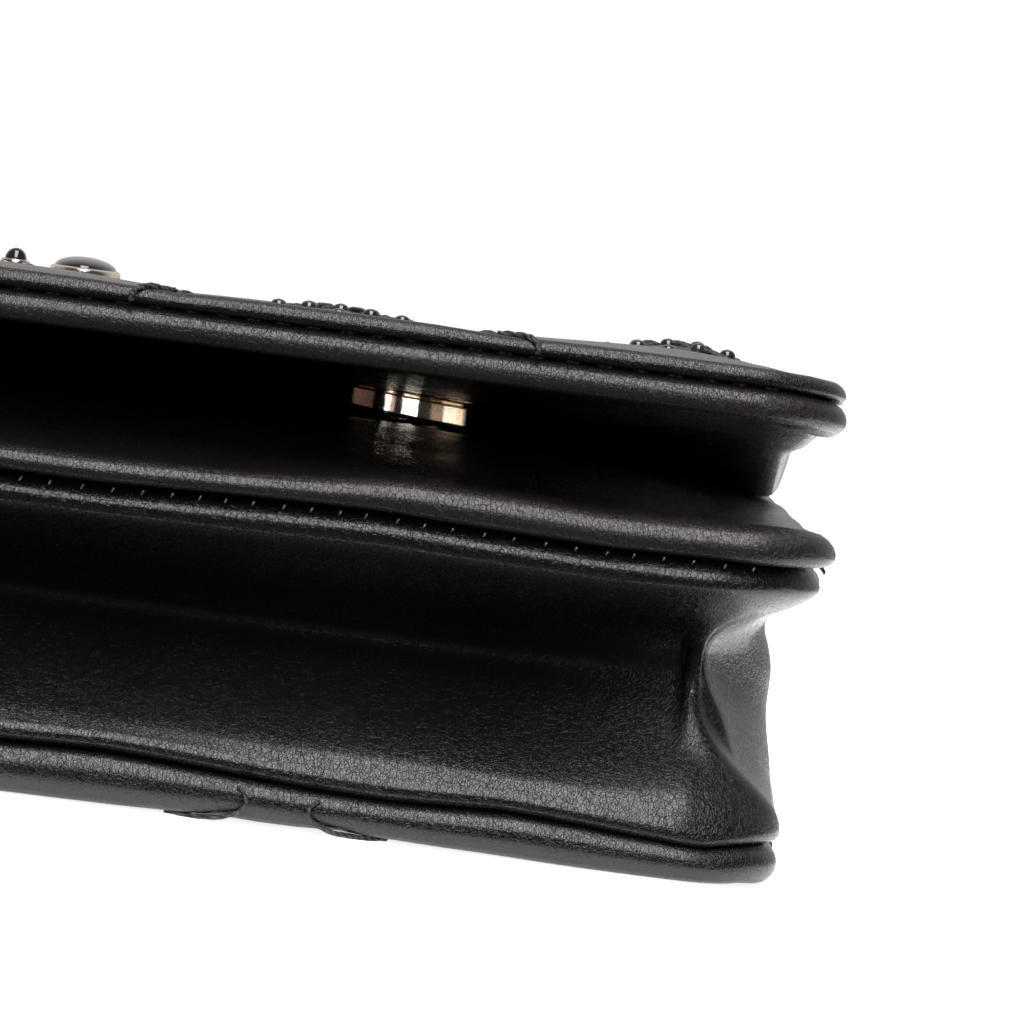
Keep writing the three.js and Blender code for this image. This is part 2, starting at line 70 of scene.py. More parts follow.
# ---- Camera ------------------------------------------------------------------------------------
def make_camera():
    place, target = Vector((-656, -39.9, 38.6)) * MM, Vector((-96, -39.9, 23.9)) * MM
    forward = (target - place).normalized()
    right = forward.cross(Vector((0, 0, 1))).normalized()
    up = right.cross(forward)
    roll = math.radians(7.5)
    right, up = right * math.cos(roll) + up * math.sin(roll), up * math.cos(roll) - right * math.sin(roll)
    data = bpy.data.cameras.new("camera")
    data.lens, data.sensor_width = 285.5, 36
    data.clip_start, data.clip_end = 0.01, 50
    camera = bpy.data.objects.new("camera", data)
    bpy.context.scene.collection.objects.link(camera)
    axes = Matrix((right, up, -forward)).transposed().to_4x4()
    camera.matrix_world = Matrix.Translation(place) @ axes
    bpy.context.scene.camera = camera


make_camera()


# ---- Small helpers -----------------------------------------------------------------------------
def smooth(low, high, value):
    t = np.clip((np.asarray(value, float) - low) / (high - low), 0, 1)
    return t * t * (3 - 2 * t)


def ripple(x, y, wave, seed):
    """Smooth seeded noise from about -1 to 1, built from seven waves near the given length."""
    rng = np.random.default_rng(seed)
    total, count = np.zeros(np.broadcast(x, y).shape), 7
    for _ in range(count):
        angle, phase, stretch = rng.uniform(0, math.tau), rng.uniform(0, math.tau), rng.uniform(0.7, 1.5)
        k = math.tau / (wave * stretch)
        total = total + np.sin(k * (math.cos(angle) * x + math.sin(angle) * y) + phase)
    return total / math.sqrt(count)


def circle(sides):
    """Angles spaced evenly round a full turn."""
    return np.linspace(0, math.tau, sides, endpoint=False)


def solid_box(node):
    """The lowest and highest corner of one of the part's solids, in millimetres."""
    return [corner * 1000 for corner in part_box(node)]


def fasten(piece, body, slot, *solids):
    """Gives a piece the body it moves with and hides the solids it stands for. The slot argument is not used.
    """
    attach(piece, body)
    if solids:
        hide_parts(*solids)


def make_mesh(name, points, faces, material, shade=True):
    mesh = bpy.data.meshes.new(name)
    mesh.from_pydata((np.asarray(points, float) * MM).tolist(), [], faces)
    mesh.validate()
    if shade:
        mesh.shade_smooth()
    mesh.materials.append(material)
    piece = bpy.data.objects.new(name, mesh)
    bpy.context.scene.collection.objects.link(piece)
    return piece


def lattice_faces(rows, columns, start=0, close=False, flip=False):
    """Quads of a grid of points stored row by row, closed round the columns if asked."""
    faces = []
    for r in range(rows - 1):
        for c in range(columns if close else columns - 1):
            a, b = start + r * columns + c, start + r * columns + (c + 1) % columns
            quad = (a, b, b + columns, a + columns)
            faces.append(quad[::-1] if flip else quad)
    return faces
def end_caps(rows, sides):
    """The two end faces of a tube stored ring by ring."""
    return [tuple(range(sides))[::-1], tuple(range((rows - 1) * sides, rows * sides))]


def face_outwards(piece):
    mesh = bmesh.new()
    mesh.from_mesh(piece.data)
    bmesh.ops.recalc_face_normals(mesh, faces=mesh.faces)
    mesh.to_mesh(piece.data)
    mesh.free()
    return piece


def stations(low, high, fine, coarse, band):
    """Places from low to high, close together near both ends."""
    edge = np.arange(0, band, fine)
    inner = np.linspace(band, (high - low) - band, max(2, int(((high - low) - 2 * band) / coarse) + 1))
    return low + np.concatenate([edge, inner, (high - low) - edge[::-1]])


def sweep(path, radius, sides=8, cap=True):
    """Points and faces of a tube along a path. The radius may change from point to point."""
    path = np.asarray(path, float)
    radius = np.broadcast_to(radius, len(path))
    along = np.gradient(path, axis=0)
    along /= np.linalg.norm(along, axis=1)[:, None] + 1e-12
    side = np.cross(along[0], (0.0, 0.0, 1.0))
    if np.linalg.norm(side) < 0.1:
        side = np.cross(along[0], (0.0, 1.0, 0.0))
    points = []
    for place, direction, r in zip(path, along, radius):
        side = side - direction * (side @ direction)
        side /= np.linalg.norm(side)
        other = np.cross(direction, side)
        for step in range(sides):
            angle = math.tau * step / sides
            points.append(place + r * (math.cos(angle) * side + math.sin(angle) * other))
    faces = lattice_faces(len(path), sides, close=True)
    if cap:
        faces += end_caps(len(path), sides)
    return np.array(points), faces


def closed_wire(ring, radius, sides):
    """Points and faces of a wire bent into a closed ring."""
    points, _ = sweep(ring[-2:] + ring + ring[:2], radius, sides, cap=False)
    faces, last = lattice_faces(len(ring), sides, close=True), (len(ring) - 1) * sides
    faces += [(last + s, last + (s + 1) % sides, (s + 1) % sides, s) for s in range(sides)]
    return points[2 * sides:-2 * sides], faces


def three_sides(x, bottom, top, r, spacing, turn, across):
    """Places and inward directions down the left side, along the bottom and up the right side."""
    path = [(-x, y, 1.0, 0.0) for y in np.arange(top, bottom + r, -spacing)]
    for angle in np.linspace(math.pi, 1.5 * math.pi, turn):
        nx, ny = -math.cos(angle), -math.sin(angle)
        path.append((-x + r - r * nx, bottom + r - r * ny, nx, ny))
    path += [(px, bottom, 0.0, 1.0) for px in np.linspace(-x + r, 0, across)[1:]]
    return path + [(-px, y, -nx, ny) for px, y, nx, ny in path[-2::-1]]


class Heap:
    """Collects many small solids into one mesh."""

    def __init__(self):
        self.points, self.faces, self.count = [], [], 0

    def add(self, points, faces):
        self.points.append(np.asarray(points, float))
        self.faces += [tuple(i + self.count for i in face) for face in faces]
        self.count += len(points)

    def build(self, name, material):
        return make_mesh(name, np.concatenate(self.points), self.faces, material)


# ---- Materials ---------------------------------------------------------------------------------
def feed(tree, slot, value):
    """Links a socket to an input, or gives the input a value of its own."""
    if isinstance(value, bpy.types.NodeSocket):
        tree.links.new(value, slot)
    else:
        slot.default_value = value


def add_node(tree, kind, inputs=(), **settings):
    made = tree.nodes.new(kind)
    for key, value in settings.items():
        setattr(made, key, value)
    for key, value in dict(inputs).items():
        feed(tree, made.inputs[key], value)
    return made


def add_remap(tree, value, limits, kind):
    """A node that carries the range of the first two limits over to the range of the last two."""
    inputs = dict(zip(("Value", "From Min", "From Max", "To Min", "To Max"), (value, *limits)))
    return add_node(tree, "ShaderNodeMapRange", inputs, interpolation_type=kind).outputs["Result"]


class Nodes:
    """A material's node tree, with short calls for the nodes used here."""

    def __init__(self, name):
        self.material = bpy.data.materials.new(name)
        self.material.use_nodes = True
        self.tree = self.material.node_tree
        self.place = self.node("ShaderNodeTexCoord").outputs["Object"]

    def node(self, kind, inputs=(), **settings):
        return add_node(self.tree, kind, inputs, **settings)

    def noise(self, scale, detail=2.0, rough=0.5, place=None, output="Fac"):
        place = self.place if place is None else place
        inputs = {"Vector": place, "Scale": scale, "Detail": detail, "Roughness": rough}
        return self.node("ShaderNodeTexNoise", inputs).outputs[output]

    def bands(self, place, scale, distortion, direction="X"):
        inputs = {"Vector": place, "Scale": scale, "Distortion": distortion}
        made = self.node("ShaderNodeTexWave", inputs, wave_type="BANDS", bands_direction=direction)
        return made.outputs["Fac"]

    def cracks(self, scale, place, width):
        """Lines between irregular cells: 0 in a line, 1 on a cell."""
        inputs = {"Vector": place, "Scale": scale}
        cells = self.node("ShaderNodeTexVoronoi", inputs, feature="DISTANCE_TO_EDGE")
        return add_remap(self.tree, cells.outputs["Distance"], (0.0, width, 0.0, 1.0), "SMOOTHSTEP")

    def remap(self, value, *limits):
        return add_remap(self.tree, value, limits, "LINEAR")

    def math(self, operation, a, b):
        return self.node("ShaderNodeMath", {0: a, 1: b}, operation=operation).outputs[0]

    def total(self, *terms):
        """The sum of values, each times its weight."""
        parts = [self.math("MULTIPLY", value, weight) for value, weight in terms]
        for part in parts[1:]:
            parts[0] = self.math("ADD", parts[0], part)
        return parts[0]

    def warp(self, scale, amount):
        """The place, pushed about by noise so that cells aren't regular."""
        kind, colour = "ShaderNodeVectorMath", self.noise(scale, output="Color")
        centred = self.node(kind, {0: colour, 1: (0.5, 0.5, 0.5)}, operation="SUBTRACT")
        scaled = self.node(kind, {0: centred.outputs[0], "Scale": amount}, operation="SCALE")
        return self.node(kind, {0: self.place, 1: scaled.outputs[0]}, operation="ADD").outputs[0]

    def stretch(self, place, scale):
        return self.node("ShaderNodeMapping", {"Vector": place, "Scale": scale}).outputs[0]

    def mix(self, share, a, b):
        ends = {slot: (*c, 1) if isinstance(c, tuple) else c for slot, c in ((6, a), (7, b))}
        return self.node("ShaderNodeMix", {"Factor": share, **ends}, data_type="RGBA").outputs[2]

    def bump(self, height, distance):
        inputs = {"Strength": 1.0, "Distance": distance * MM, "Height": height}
        return self.node("ShaderNodeBump", inputs).outputs["Normal"]

    def shaded(self, **values):
        """The material, with the shader's inputs set or linked."""
        for key, value in values.items():
            feed(self.tree, self.tree.nodes["Principled BSDF"].inputs[key.replace("_", " ")], value)
        return self.material


def leather(name, dark, light, cell, crackle, roughness):
    """Lambskin: cells of a size in millimetres split by fine cracks, pores and uneven polish, with painted
    shade darkening the colour in the cracks.
    """
    n = Nodes(name)
    place = n.stretch(n.warp(900 / cell, 0.0008 * cell), (1.0, 1.2, 0.72))
    broad, pebble, micro = n.noise(45, 3.0), n.noise(1500 / cell, rough=0.6), n.noise(9000)
    large, small = n.cracks(1000 / cell, place, 0.05), n.cracks(2600 / cell, place, 0.14)
    patches = n.remap(n.noise(420, 3.0), 0.36, 0.60, 0.4 * crackle, crackle)
    lines = n.math("MULTIPLY", n.math("SUBTRACT", large, 1.0), patches)
    height = n.total((lines, 0.5), (small, 0.3), (pebble, 0.6), (micro, 0.12))
    tone = n.mix(n.remap(broad, 0.3, 0.7, 0.0, 1.0), dark, light)
    # Painted shade: the colour is darkened in the crack lines, towards a fifth of the dark tone.
    crack_shade = n.remap(lines, -crackle, 0.0, 0.5, 0.0)
    polish = n.remap(broad, 0.25, 0.75, roughness - 0.04, roughness + 0.05)
    pores = n.remap(pebble, 0.3, 0.7, -0.03, 0.05)
    return n.shaded(
        Base_Color=n.mix(crack_shade, tone, tuple(0.2 * c for c in dark)), IOR=1.5,
        Roughness=n.total((polish, 1.0), (pores, 1.0), (lines, -0.2)), Normal=n.bump(height, 0.034))


def metal(name, colour, tint, roughness, scratch=0.5):
    """Plated metal with fine scratches, smears and slightly uneven plating."""
    n = Nodes(name)
    broad, fine = n.noise(160, 3.0), n.noise(5200)
    lines = n.noise(1500, 3.0, 0.7, n.stretch(n.place, (1.0, 1.0, 9.0)))
    smears = n.remap(broad, 0.3, 0.7, roughness * 0.8, roughness * 1.3)
    return n.shaded(
        Base_Color=n.mix(n.remap(broad, 0.3, 0.7, 0.0, 1.0), colour, tint), Metallic=1.0,
        Roughness=n.math("ADD", smears, n.remap(fine, 0.4, 0.7, 0.0, 0.06)),
        Normal=n.bump(n.total((lines, scratch), (fine, 0.3)), 0.02))


def thread(name, colour, highlight):
    """Waxed twisted thread: slanting plies and fuzz."""
    n = Nodes(name)
    slanted = n.node("ShaderNodeMapping", {"Vector": n.place, "Rotation": (0.5, 0.4, 0.8)})
    plies, fuzz = n.bands(slanted.outputs[0], 900, 2.0), n.noise(7000)
    return n.shaded(
        Base_Color=n.mix(plies, colour, highlight), Roughness=n.remap(fuzz, 0.3, 0.7, 0.5, 0.8),
        Normal=n.bump(n.math("ADD", plies, fuzz), 0.06))


def enamel(name, colour, tint):
    """Polished black cabochon with a faint cloudy depth and hairline marks."""
    n = Nodes(name)
    cloud, fine = n.noise(260, 3.0), n.noise(4500)
    return n.shaded(
        Base_Color=n.mix(n.remap(cloud, 0.35, 0.7, 0.0, 1.0), colour, tint),
        Roughness=n.remap(fine, 0.3, 0.7, 0.06, 0.14), Normal=n.bump(fine, 0.004),
        Coat_Weight=0.6, Coat_Roughness=0.05)


def woven(name, colour, light):
    """Tightly woven tape: crossing ribs."""
    n = Nodes(name)
    ribs = [n.bands(n.place, 420, 0.6, direction) for direction in ("X", "Z")]
    weave, fuzz = n.math("MULTIPLY", *ribs), n.noise(5000)
    return n.shaded(
        Base_Color=n.mix(n.total((weave, 1.0), (fuzz, 0.3)), colour, light),
        Roughness=n.remap(fuzz, 0.3, 0.7, 0.75, 0.95), Normal=n.bump(weave, 0.12))


M_BACK = leather("leather_quilted_back", (0.0032, 0.0028, 0.0028), (0.0052, 0.0045, 0.0045), 0.55, 0.8, 0.21)
M_FLAP = leather("leather_quilted_flap", (0.0034, 0.0029, 0.0029), (0.0056, 0.0048, 0.0048), 0.40, 0.7, 0.21)
# Front panel and flap lining: a lighter copy of the black leather, painted light that brightens the shaded
# gap under the flap.
M_FRONT_LIGHTENED = leather("leather_front_lightened", (0.0095, 0.0082, 0.0078), (0.0140, 0.0120, 0.0115), 0.48, 0.8, 0.21)
M_GUSSET = leather("leather_gusset", (0.0030, 0.0027, 0.0027), (0.0050, 0.0044, 0.0044), 0.55, 0.85, 0.19)
M_LINING = leather("leather_lining", (0.010, 0.0085, 0.008), (0.016, 0.013, 0.012), 0.6, 0.5, 0.48)
M_STRAP = leather("leather_small_parts", (0.0040, 0.0035, 0.0034), (0.0065, 0.0058, 0.0056), 0.45, 0.8, 0.3)
M_METAL = metal("plated_metal", (0.80, 0.74, 0.64), (0.86, 0.76, 0.60), 0.16)
M_SNAP = metal("plated_metal_snap", (0.80, 0.75, 0.68), (0.82, 0.70, 0.54), 0.07, 0.5)
# Chain and strap rings: a darker copy of the plated metal, painted shade that keeps their reflections of the
# bright table and backdrop from going white.
M_CHAIN_DARKENED = metal("plated_metal_chain_darkened", (0.50, 0.42, 0.29), (0.60, 0.49, 0.32), 0.22, 0.8)
M_PLAQUE = metal("plated_metal_plaque", (0.84, 0.79, 0.70), (0.88, 0.80, 0.66), 0.14, 0.4)
M_THREAD = thread("thread_black", (0.010, 0.010, 0.010), (0.05, 0.048, 0.046))
# Pale grey thread, so the stitches in the front panel's groove show as light specks.
M_THREAD_PALE = thread("thread_pale", (0.03, 0.029, 0.024), (0.15, 0.145, 0.12))
M_ENAMEL = enamel("black_enamel", (0.004, 0.004, 0.006), (0.014, 0.014, 0.02))
M_STUD = enamel("black_studs", (0.006, 0.008, 0.010), (0.018, 0.022, 0.028))
M_TAPE = woven("zip_tape", (0.008, 0.008, 0.008), (0.03, 0.029, 0.028))


# ---- Chain: one strap of curb links from ring to ring, put away in a coil behind the spine --------
LEAD_ROUTE = [
    (RING_X, 61.5, RING_Z), (98.6, 67, 5.5), (95, 73.5, 4.2), (88, 78, 3.7), (78, 79.5, 3.7), (55, 78, 3.7)]


def chain_route():
    """The centreline: left ring, two turns inwards, up a layer, two turns outwards, right ring."""
    route = [(-x, y, z) for x, y, z in LEAD_ROUTE]
    turns, outer_r, inner_r, low_z = 3.86, 48, 34, 3.7
    steps = int(turns * 40)
    for step in range(steps + 1):
        share = step / steps
        angle = -math.pi / 2 - 0.42 + share * (turns * math.tau)
        radius = outer_r - (outer_r - inner_r) * (1 - abs(2 * share - 1))
        z = low_z + COIL_LAYER * float(smooth(0.44, 0.56, share))
        route.append((radius * math.cos(angle), COIL_Y + radius * math.sin(angle), z))
    right = [(x, y, z + COIL_LAYER * (1 - float(smooth(33, 78, x)))) for x, y, z in LEAD_ROUTE]
    return route + right[::-1]


def spline(points, spacing):
    """Evenly spaced points on a Catmull-Rom curve through the given ones."""
    p = np.asarray(points, float)
    p = np.vstack([2 * p[0] - p[1], p, 2 * p[-1] - p[-2]])
    out = []
    for i in range(1, len(p) - 2):
        t = np.linspace(0, 1, 24, endpoint=False)[:, None]
        a, b, c, d = p[i - 1], p[i], p[i + 1], p[i + 2]
        curve = (2 * a - 5 * b + 4 * c - d) * t**2 + (3 * b - a - 3 * c + d) * t**3
        out.append(0.5 * (2 * b + (c - a) * t + curve))
    out = np.vstack(out + [p[-2][None]])
    run = np.concatenate([[0], np.cumsum(np.linalg.norm(np.diff(out, axis=0), axis=1))])
    even = np.linspace(0, run[-1], max(2, int(round(run[-1] / spacing)) + 1))
    return np.stack([np.interp(even, run, out[:, k]) for k in range(3)], 1), run[-1]


def build_chain():
    line, length = spline(chain_route(), 2.6)
    heap = Heap()
    half_long, half_wide, wire = 4.3, 2.35, 0.95
    for index in range(0, len(line) - 1, 2):
        ahead = line[index + 1] - line[max(index - 1, 0)]
        ahead /= np.linalg.norm(ahead)
        side = np.cross((0.0, 0.0, 1.0), ahead)
        side /= np.linalg.norm(side)
        lean = math.radians(45 if (index // 2) % 2 else -45)
        across = math.cos(lean) * side + math.sin(lean) * np.cross(ahead, side)
        ring = []
        for step in range(20):
            angle = math.tau * step / 20
            along = half_wide * math.cos(angle) + (half_long - half_wide) * math.tanh(3 * math.cos(angle))
            ring.append(line[index] + ahead * along + across * half_wide * math.sin(angle))
        heap.add(*closed_wire(ring, wire, 8))
    chain = heap.build("chain", M_CHAIN_DARKENED)
    fasten(chain, "case", "chain_metal", "chain_lead_left", "chain_lead_right", "chain_coil")


build_chain()


# ---- Surfaces ----------------------------------------------------------------------------------
B_WAVE_Y = [-62, -54, -46.3, -38, -30.8, -21, -11.5, 0, 30]
B_WAVE_Z = [0.0, -0.25, -0.5, -0.25, 0.0, -0.3, -0.55, -0.55, -0.5]


def level_at_snap(x, y, height):
    """A height field that turns flat round the snap."""
    x, y = np.asarray(x, float), np.asarray(y, float)
    level = 1 - smooth(SNAP_FLAT_R, SNAP_FADE_R, np.hypot(x, y - SNAP_Y))
    return height(x, y) * (1 - level) + float(height(0.0, SNAP_Y)) * level


def front_rise(x, y):
    across = 1 - (np.abs(x) / HALF_W).clip(0, 1) ** 3
    up = np.maximum(y + HALF_H, 0)
    along = 0.1 + 0.9 * (1 - np.exp(-((up / 22) ** 1.5)))
    return FRONT_CROWN * across * along * (1 - 0.55 * smooth(15, MOUTH_Y, y))


def flap_dip(x, y):
    across = 1 - (np.abs(x) / HALF_W).clip(0, 1) ** 1.4
    up = np.maximum(y + HALF_H, 0)
    return FLAP_DIP * across * np.exp(-up / 52) * (1 - smooth(34, 55, y))


def rim_b(x, y):
    """How far the seam between front panel and gusset wanders down on the two sides."""
    return np.interp(y, B_WAVE_Y, B_WAVE_Z) * smooth(80, 94, np.abs(x))


def front_level(x, y):
    return FRONT_RIM_Z + level_at_snap(x, y, front_rise)


def front_under(x, y):
    return front_level(x, y) + rim_b(x, y)


def flap_under(x, y):
    lean = FLAP_LEAN * smooth(8, 75, x) * smooth(56, 40, y)
    held = 2.3 * smooth(-92, -50, x) * smooth(30, 0, x) - 2.6 * np.exp(-(((x - 55) / 20) ** 2))
    free = held * smooth(-42, -60, y)
    return FLAP_LOW_Z - level_at_snap(x, y, flap_dip) - lean + free


def contact(x, y):
    """Where the padded flap lining and the front panel lie on each other, on the right of the snap."""
    return smooth(15, 38, x) * smooth(92, 70, x) * smooth(-66, -60, y) * smooth(30, 6, y)


def seams(x, y, cell, origin):
    """Distance in millimetres to the nearest line of each family of a diamond lattice."""
    u, v = (x - origin[0]) / cell[0], (y - origin[1]) / cell[1]
    spacing = 1 / math.hypot(1 / cell[0], 1 / cell[1])
    return [np.abs(k - np.round(k)) * spacing for k in (u + v, u - v)]


def quilt(x, y, cell, origin, seed):
    """Height from 0 in a sewn line to about 1 on a puff, with puckers beside the stitches."""
    a, b = seams(x, y, cell, origin)
    rise = [(1 - np.exp(-d / 2.3)) * (0.72 + 0.28 * smooth(2, 15, d)) for d in (a, b)]
    near = np.exp(-np.minimum(a, b) / 2.6)
    slope = cell[1] / cell[0]
    along = np.where(a < b, x - y / slope, x + y / slope) * 0.72
    puckers = 0.07 * np.sin(along * math.tau / 2.9 + 2 * ripple(x, y, 30, seed)) * near
    soft = 0.045 * ripple(x, y, 21, seed + 1) + 0.02 * ripple(x, y, 7, seed + 2)
    return rise[0] * rise[1] + puckers + soft


# ---- Panels with turned edges ------------------------------------------------------------------
def rounded_grid(x0, x1, y0, y1, radii, xs, ys):
    """A grid over a rectangle whose corners are pulled round. Radii: x0y0, x1y0, x1y1, x0y1."""
    x, y = np.meshgrid(xs, ys)
    corners = [(-1, -1, x0, y0), (1, -1, x1, y0), (1, 1, x1, y1), (-1, 1, x0, y1)]
    for (sx, sy, cx, cy), r in zip(corners, radii):
        if r <= 0:
            continue
        u, v = (x - (cx - sx * r)) * sx / r, (y - (cy - sy * r)) * sy / r
        inside = (u > 0) & (v > 0)
        nu, nv = u * np.sqrt(np.maximum(1 - v * v / 2, 0)), v * np.sqrt(np.maximum(1 - u * u / 2, 0))
        x, y = np.where(inside, cx - sx * r + sx * r * nu, x), np.where(inside, cy - sy * r + sy * r * nv, y)
    return x, y


def border(rows, columns):
    """Indices of a grid's outer loop, anticlockwise from its first point."""
    loop = list(range(columns)) + [r * columns + columns - 1 for r in range(1, rows)]
    loop += [(rows - 1) * columns + c for c in range(columns - 2, -1, -1)]
    return loop + [r * columns for r in range(rows - 2, 0, -1)]


def panel(name, rect, radii, over, under, material, roll=1.3, fine=0.7, coarse=1.4, band=8, bend=None,
          turn=9, wander=0.12, seed=1, nose=1.0):
    """A closed leather sheet between two heights, with half-round edges and rounded corners.

    A nose above 1 puts the fullest part of the edge lower down.
    """
    x0, x1, y0, y1 = rect
    inner = (x0 + roll, x1 - roll, y0 + roll, y1 - roll)
    small = [max(r - roll, 0) for r in radii]
    xs = stations(inner[0], inner[1], fine, coarse, band)
    ys = stations(inner[2], inner[3], fine, coarse, band)
    x, y = rounded_grid(*inner, small, xs, ys)
    rows, columns = x.shape
    loop = border(rows, columns)
    ox, oy = rounded_grid(x0, x1, y0, y1, [max(r, 1e-3) for r in radii],
                          x0 + (xs - inner[0]) * (x1 - x0) / (inner[1] - inner[0]),
                          y0 + (ys - inner[2]) * (y1 - y0) / (inner[3] - inner[2]))
    bx, by = x.ravel()[loop], y.ravel()[loop]
    out = np.stack([ox.ravel()[loop] - bx, oy.ravel()[loop] - by], 1)
    out *= (1 + wander * ripple(bx, by, 26, seed) * 0.5 / roll)[:, None]
    high, low = over(x, y), under(x, y)
    top_rim, low_rim = high.ravel()[loop], low.ravel()[loop]
    points = [np.stack([x.ravel(), y.ravel(), high.ravel()], 1)]
    for step in range(1, turn):
        angle = math.pi * step / turn
        reach = math.sin(angle) ** 0.85
        share = ((1 + math.cos(angle)) / 2) ** nose
        px, py = bx + out[:, 0] * reach, by + out[:, 1] * reach
        points.append(np.stack([px, py, low_rim + (top_rim - low_rim) * share], 1))
    points.append(np.stack([x.ravel(), y.ravel(), low.ravel()], 1))
    count, size = rows * columns, len(loop)
    faces = lattice_faces(rows, columns)
    last = count + (turn - 1) * size
    faces += lattice_faces(rows, columns, start=last, flip=True)
    rings = [loop] + [[count + k * size + i for i in range(size)] for k in range(turn - 1)]
    rings.append([last + i for i in loop])
    for upper, lower in zip(rings, rings[1:]):
        for i in range(size):
            j = (i + 1) % size
            faces.append((lower[i], lower[j], upper[j], upper[i]))
    points = np.vstack(points)
    if bend is not None:
        points = bend(points)
    return make_mesh(name, points, faces, material)


def stitch(heap, start, end, normal, radius, sag=0.18):
    """One stitch of two-stranded thread, pressed into the leather at both ends."""
    start, end, normal = (np.asarray(v, float) for v in (start, end, normal))
    t = np.linspace(0, 1, 7)[:, None]
    line = start + (end - start) * t + normal * (np.sin(math.pi * t) * sag - 0.1)
    along = end - start
    side = np.cross(along / (np.linalg.norm(along) + 1e-9), normal)
    for phase in (0.0, math.pi):
        twist = radius * 0.45 * (np.cos(4.5 * t + phase) * side + np.sin(4.5 * t + phase) * normal)
        taper = radius * 0.72 * (0.55 + 0.45 * np.sin(math.pi * t[:, 0]) ** 0.5)
        heap.add(*sweep(line + twist, taper, 6))


def sew_lattice(heap, rect, cell, origin, surface, normal_up, margin):
    """Stitches down every line of a diamond lattice inside a rectangle."""
    pitch, gap, radius = 3.1, 0.35, 0.26
    x0, x1, y0, y1 = rect[0] + margin, rect[1] - margin, rect[2] + margin, rect[3] - margin
    reach = int(6 + (x1 - x0) / cell[0] + (y1 - y0) / cell[1])
    for sign in (1, -1):
        direction = np.array([cell[0], -sign * cell[1]]) / math.hypot(*cell)
        for k in range(-reach, reach + 1):
            base = np.array([origin[0] + k * cell[0], origin[1]])
            for step in range(-110, 110):
                a = base + direction * (step * pitch + gap)
                b = base + direction * ((step + 1) * pitch - gap)
                middle = (a + b) / 2
                if x0 < middle[0] < x1 and y0 < middle[1] < y1:
                    stitch(heap, *surface(np.array([a, b])), normal_up(middle), radius)


def seam_ends(rect, cell, origin):
    """Where the lattice lines meet the two sides and the bottom edge: place, outward and line directions."""
    found = []
    for sign in (1, -1):
        line = np.array([cell[0], -sign * cell[1]]) / math.hypot(*cell)
        for k in range(-9, 10):
            base = np.array([origin[0] + k * cell[0], origin[1]])
            for x, out in ((rect[0], (-1, 0)), (rect[1], (1, 0))):
                y = base[1] + line[1] * (x - base[0]) / line[0]
                if rect[2] + 12 < y < rect[3] - 12:
                    found.append((np.array([x, y]), np.array(out), line if line @ out > 0 else -line))
            y = rect[2]
            x = base[0] + line[0] * (y - base[1]) / line[1]
            if abs(x) < rect[1] - 12:
                found.append((np.array([x, y]), np.array((0, -1)), line if line[1] < 0 else -line))
    return found


def sew_over_edge(heap, ends, roll, high, low, radius=0.25, up=1, nose=1.0, first=-60, last=112,
                  slide=1.0, pivot=0.0):
    """Twisted threads that follow each seam over the rounded edge of a panel to the groove beyond it."""
    angles = np.radians(np.linspace(first, last, 15))
    ahead, lift = angles.clip(0, None), 0.1
    across = np.where(angles > 0, np.sin(np.abs(angles)) ** 0.85, angles * 1.2)
    share = np.where(angles > 0, ((1 + np.cos(angles)) / 2) ** nose, 1.0)
    for place, out, line in ends:
        step = line / abs(line @ out)
        step = out + slide * (step - out)
        inner = place - out * roll - pivot * (step - out) * roll
        flat = inner + np.outer(across * roll, step)
        top, bottom = high(flat[:, 0], flat[:, 1]), low(flat[:, 0], flat[:, 1])
        level = bottom + (top - bottom) * share + up * lift * np.cos(angles.clip(0, math.pi / 2))
        path = np.column_stack([flat + np.outer(np.sin(ahead) * lift, out), level])
        side = np.array([-step[1], step[0], 0.0]) / np.linalg.norm(step)
        normal = np.column_stack([np.outer(np.sin(ahead), out), up * np.cos(ahead)])
        for phase in (0.0, math.tau / 3, 2 * math.tau / 3):
            turn = 0.8 * np.arange(len(angles))[:, None] + phase
            ply = path + radius * 0.55 * (np.cos(turn) * side + np.sin(turn) * normal)
            heap.add(*sweep(ply, radius * 0.6, 6))


# ---- Back panel --------------------------------------------------------------------------------
BACK_RECT = (-96.2, 96.2, -61.4, 61.6)
C_WAVE_Y = [-61.5, -58.5, -55.9, -50, -41.8, -34, -27.9, -20, -13.9, -4, 10, 30, 61.5]
C_WAVE_Z = [0.25, -0.4, -0.9, -0.6, 0.0, -0.15, 0.05, 0.4, 0.6, 0.3, 0.1, 0.0, 0.0]


def rim_c(x, y):
    """How far the seam between back panel and gusset wanders up and down on the two sides."""
    return np.interp(y, C_WAVE_Y, C_WAVE_Z) * smooth(84, 95, np.abs(x)) + 0.12 * ripple(x, y, 34, 5)


def back_inset(x, y):
    """Distance in from the nearest edge of the back."""
    return np.minimum(HALF_W - np.abs(x), np.minimum(y + HALF_H, 61.5 - y))


def back_over(x, y):
    rim = smooth(7, 0, back_inset(x, y))
    return 3.0 + (rim_c(x, y) + 0.15) * rim * (1 - smooth(40, 55, y))


def back_under(x, y):
    puff = quilt(x, y, BACK_CELL, BACK_ORIGIN, 11)
    edge = smooth(0, 6, back_inset(x, y))
    return ((0.15 + 1.55 * edge) * (1 - puff)).clip(0.0, 2.2)


def build_back():
    back = panel("back_leather", BACK_RECT, (7, 7, 7, 7), back_over, back_under, M_BACK, roll=1.7, seed=3)
    fasten(back, "case", "quilted_leather", "back_panel")
    heap = Heap()

    def surface(p):
        return np.column_stack([p, back_under(p[:, 0], p[:, 1]) - 0.02])

    sew_lattice(heap, BACK_RECT, BACK_CELL, BACK_ORIGIN, surface, lambda m: (0, 0, -1), 1.2)
    ends = seam_ends(BACK_RECT, BACK_CELL, BACK_ORIGIN)
    sew_over_edge(heap, ends, 1.7, back_under, back_over, 0.2, up=-1, first=-12, last=125,
                  slide=2.2, pivot=1.0)
    fasten(heap.build("back_quilt_thread", M_THREAD), "case", "quilted_leather")


build_back()


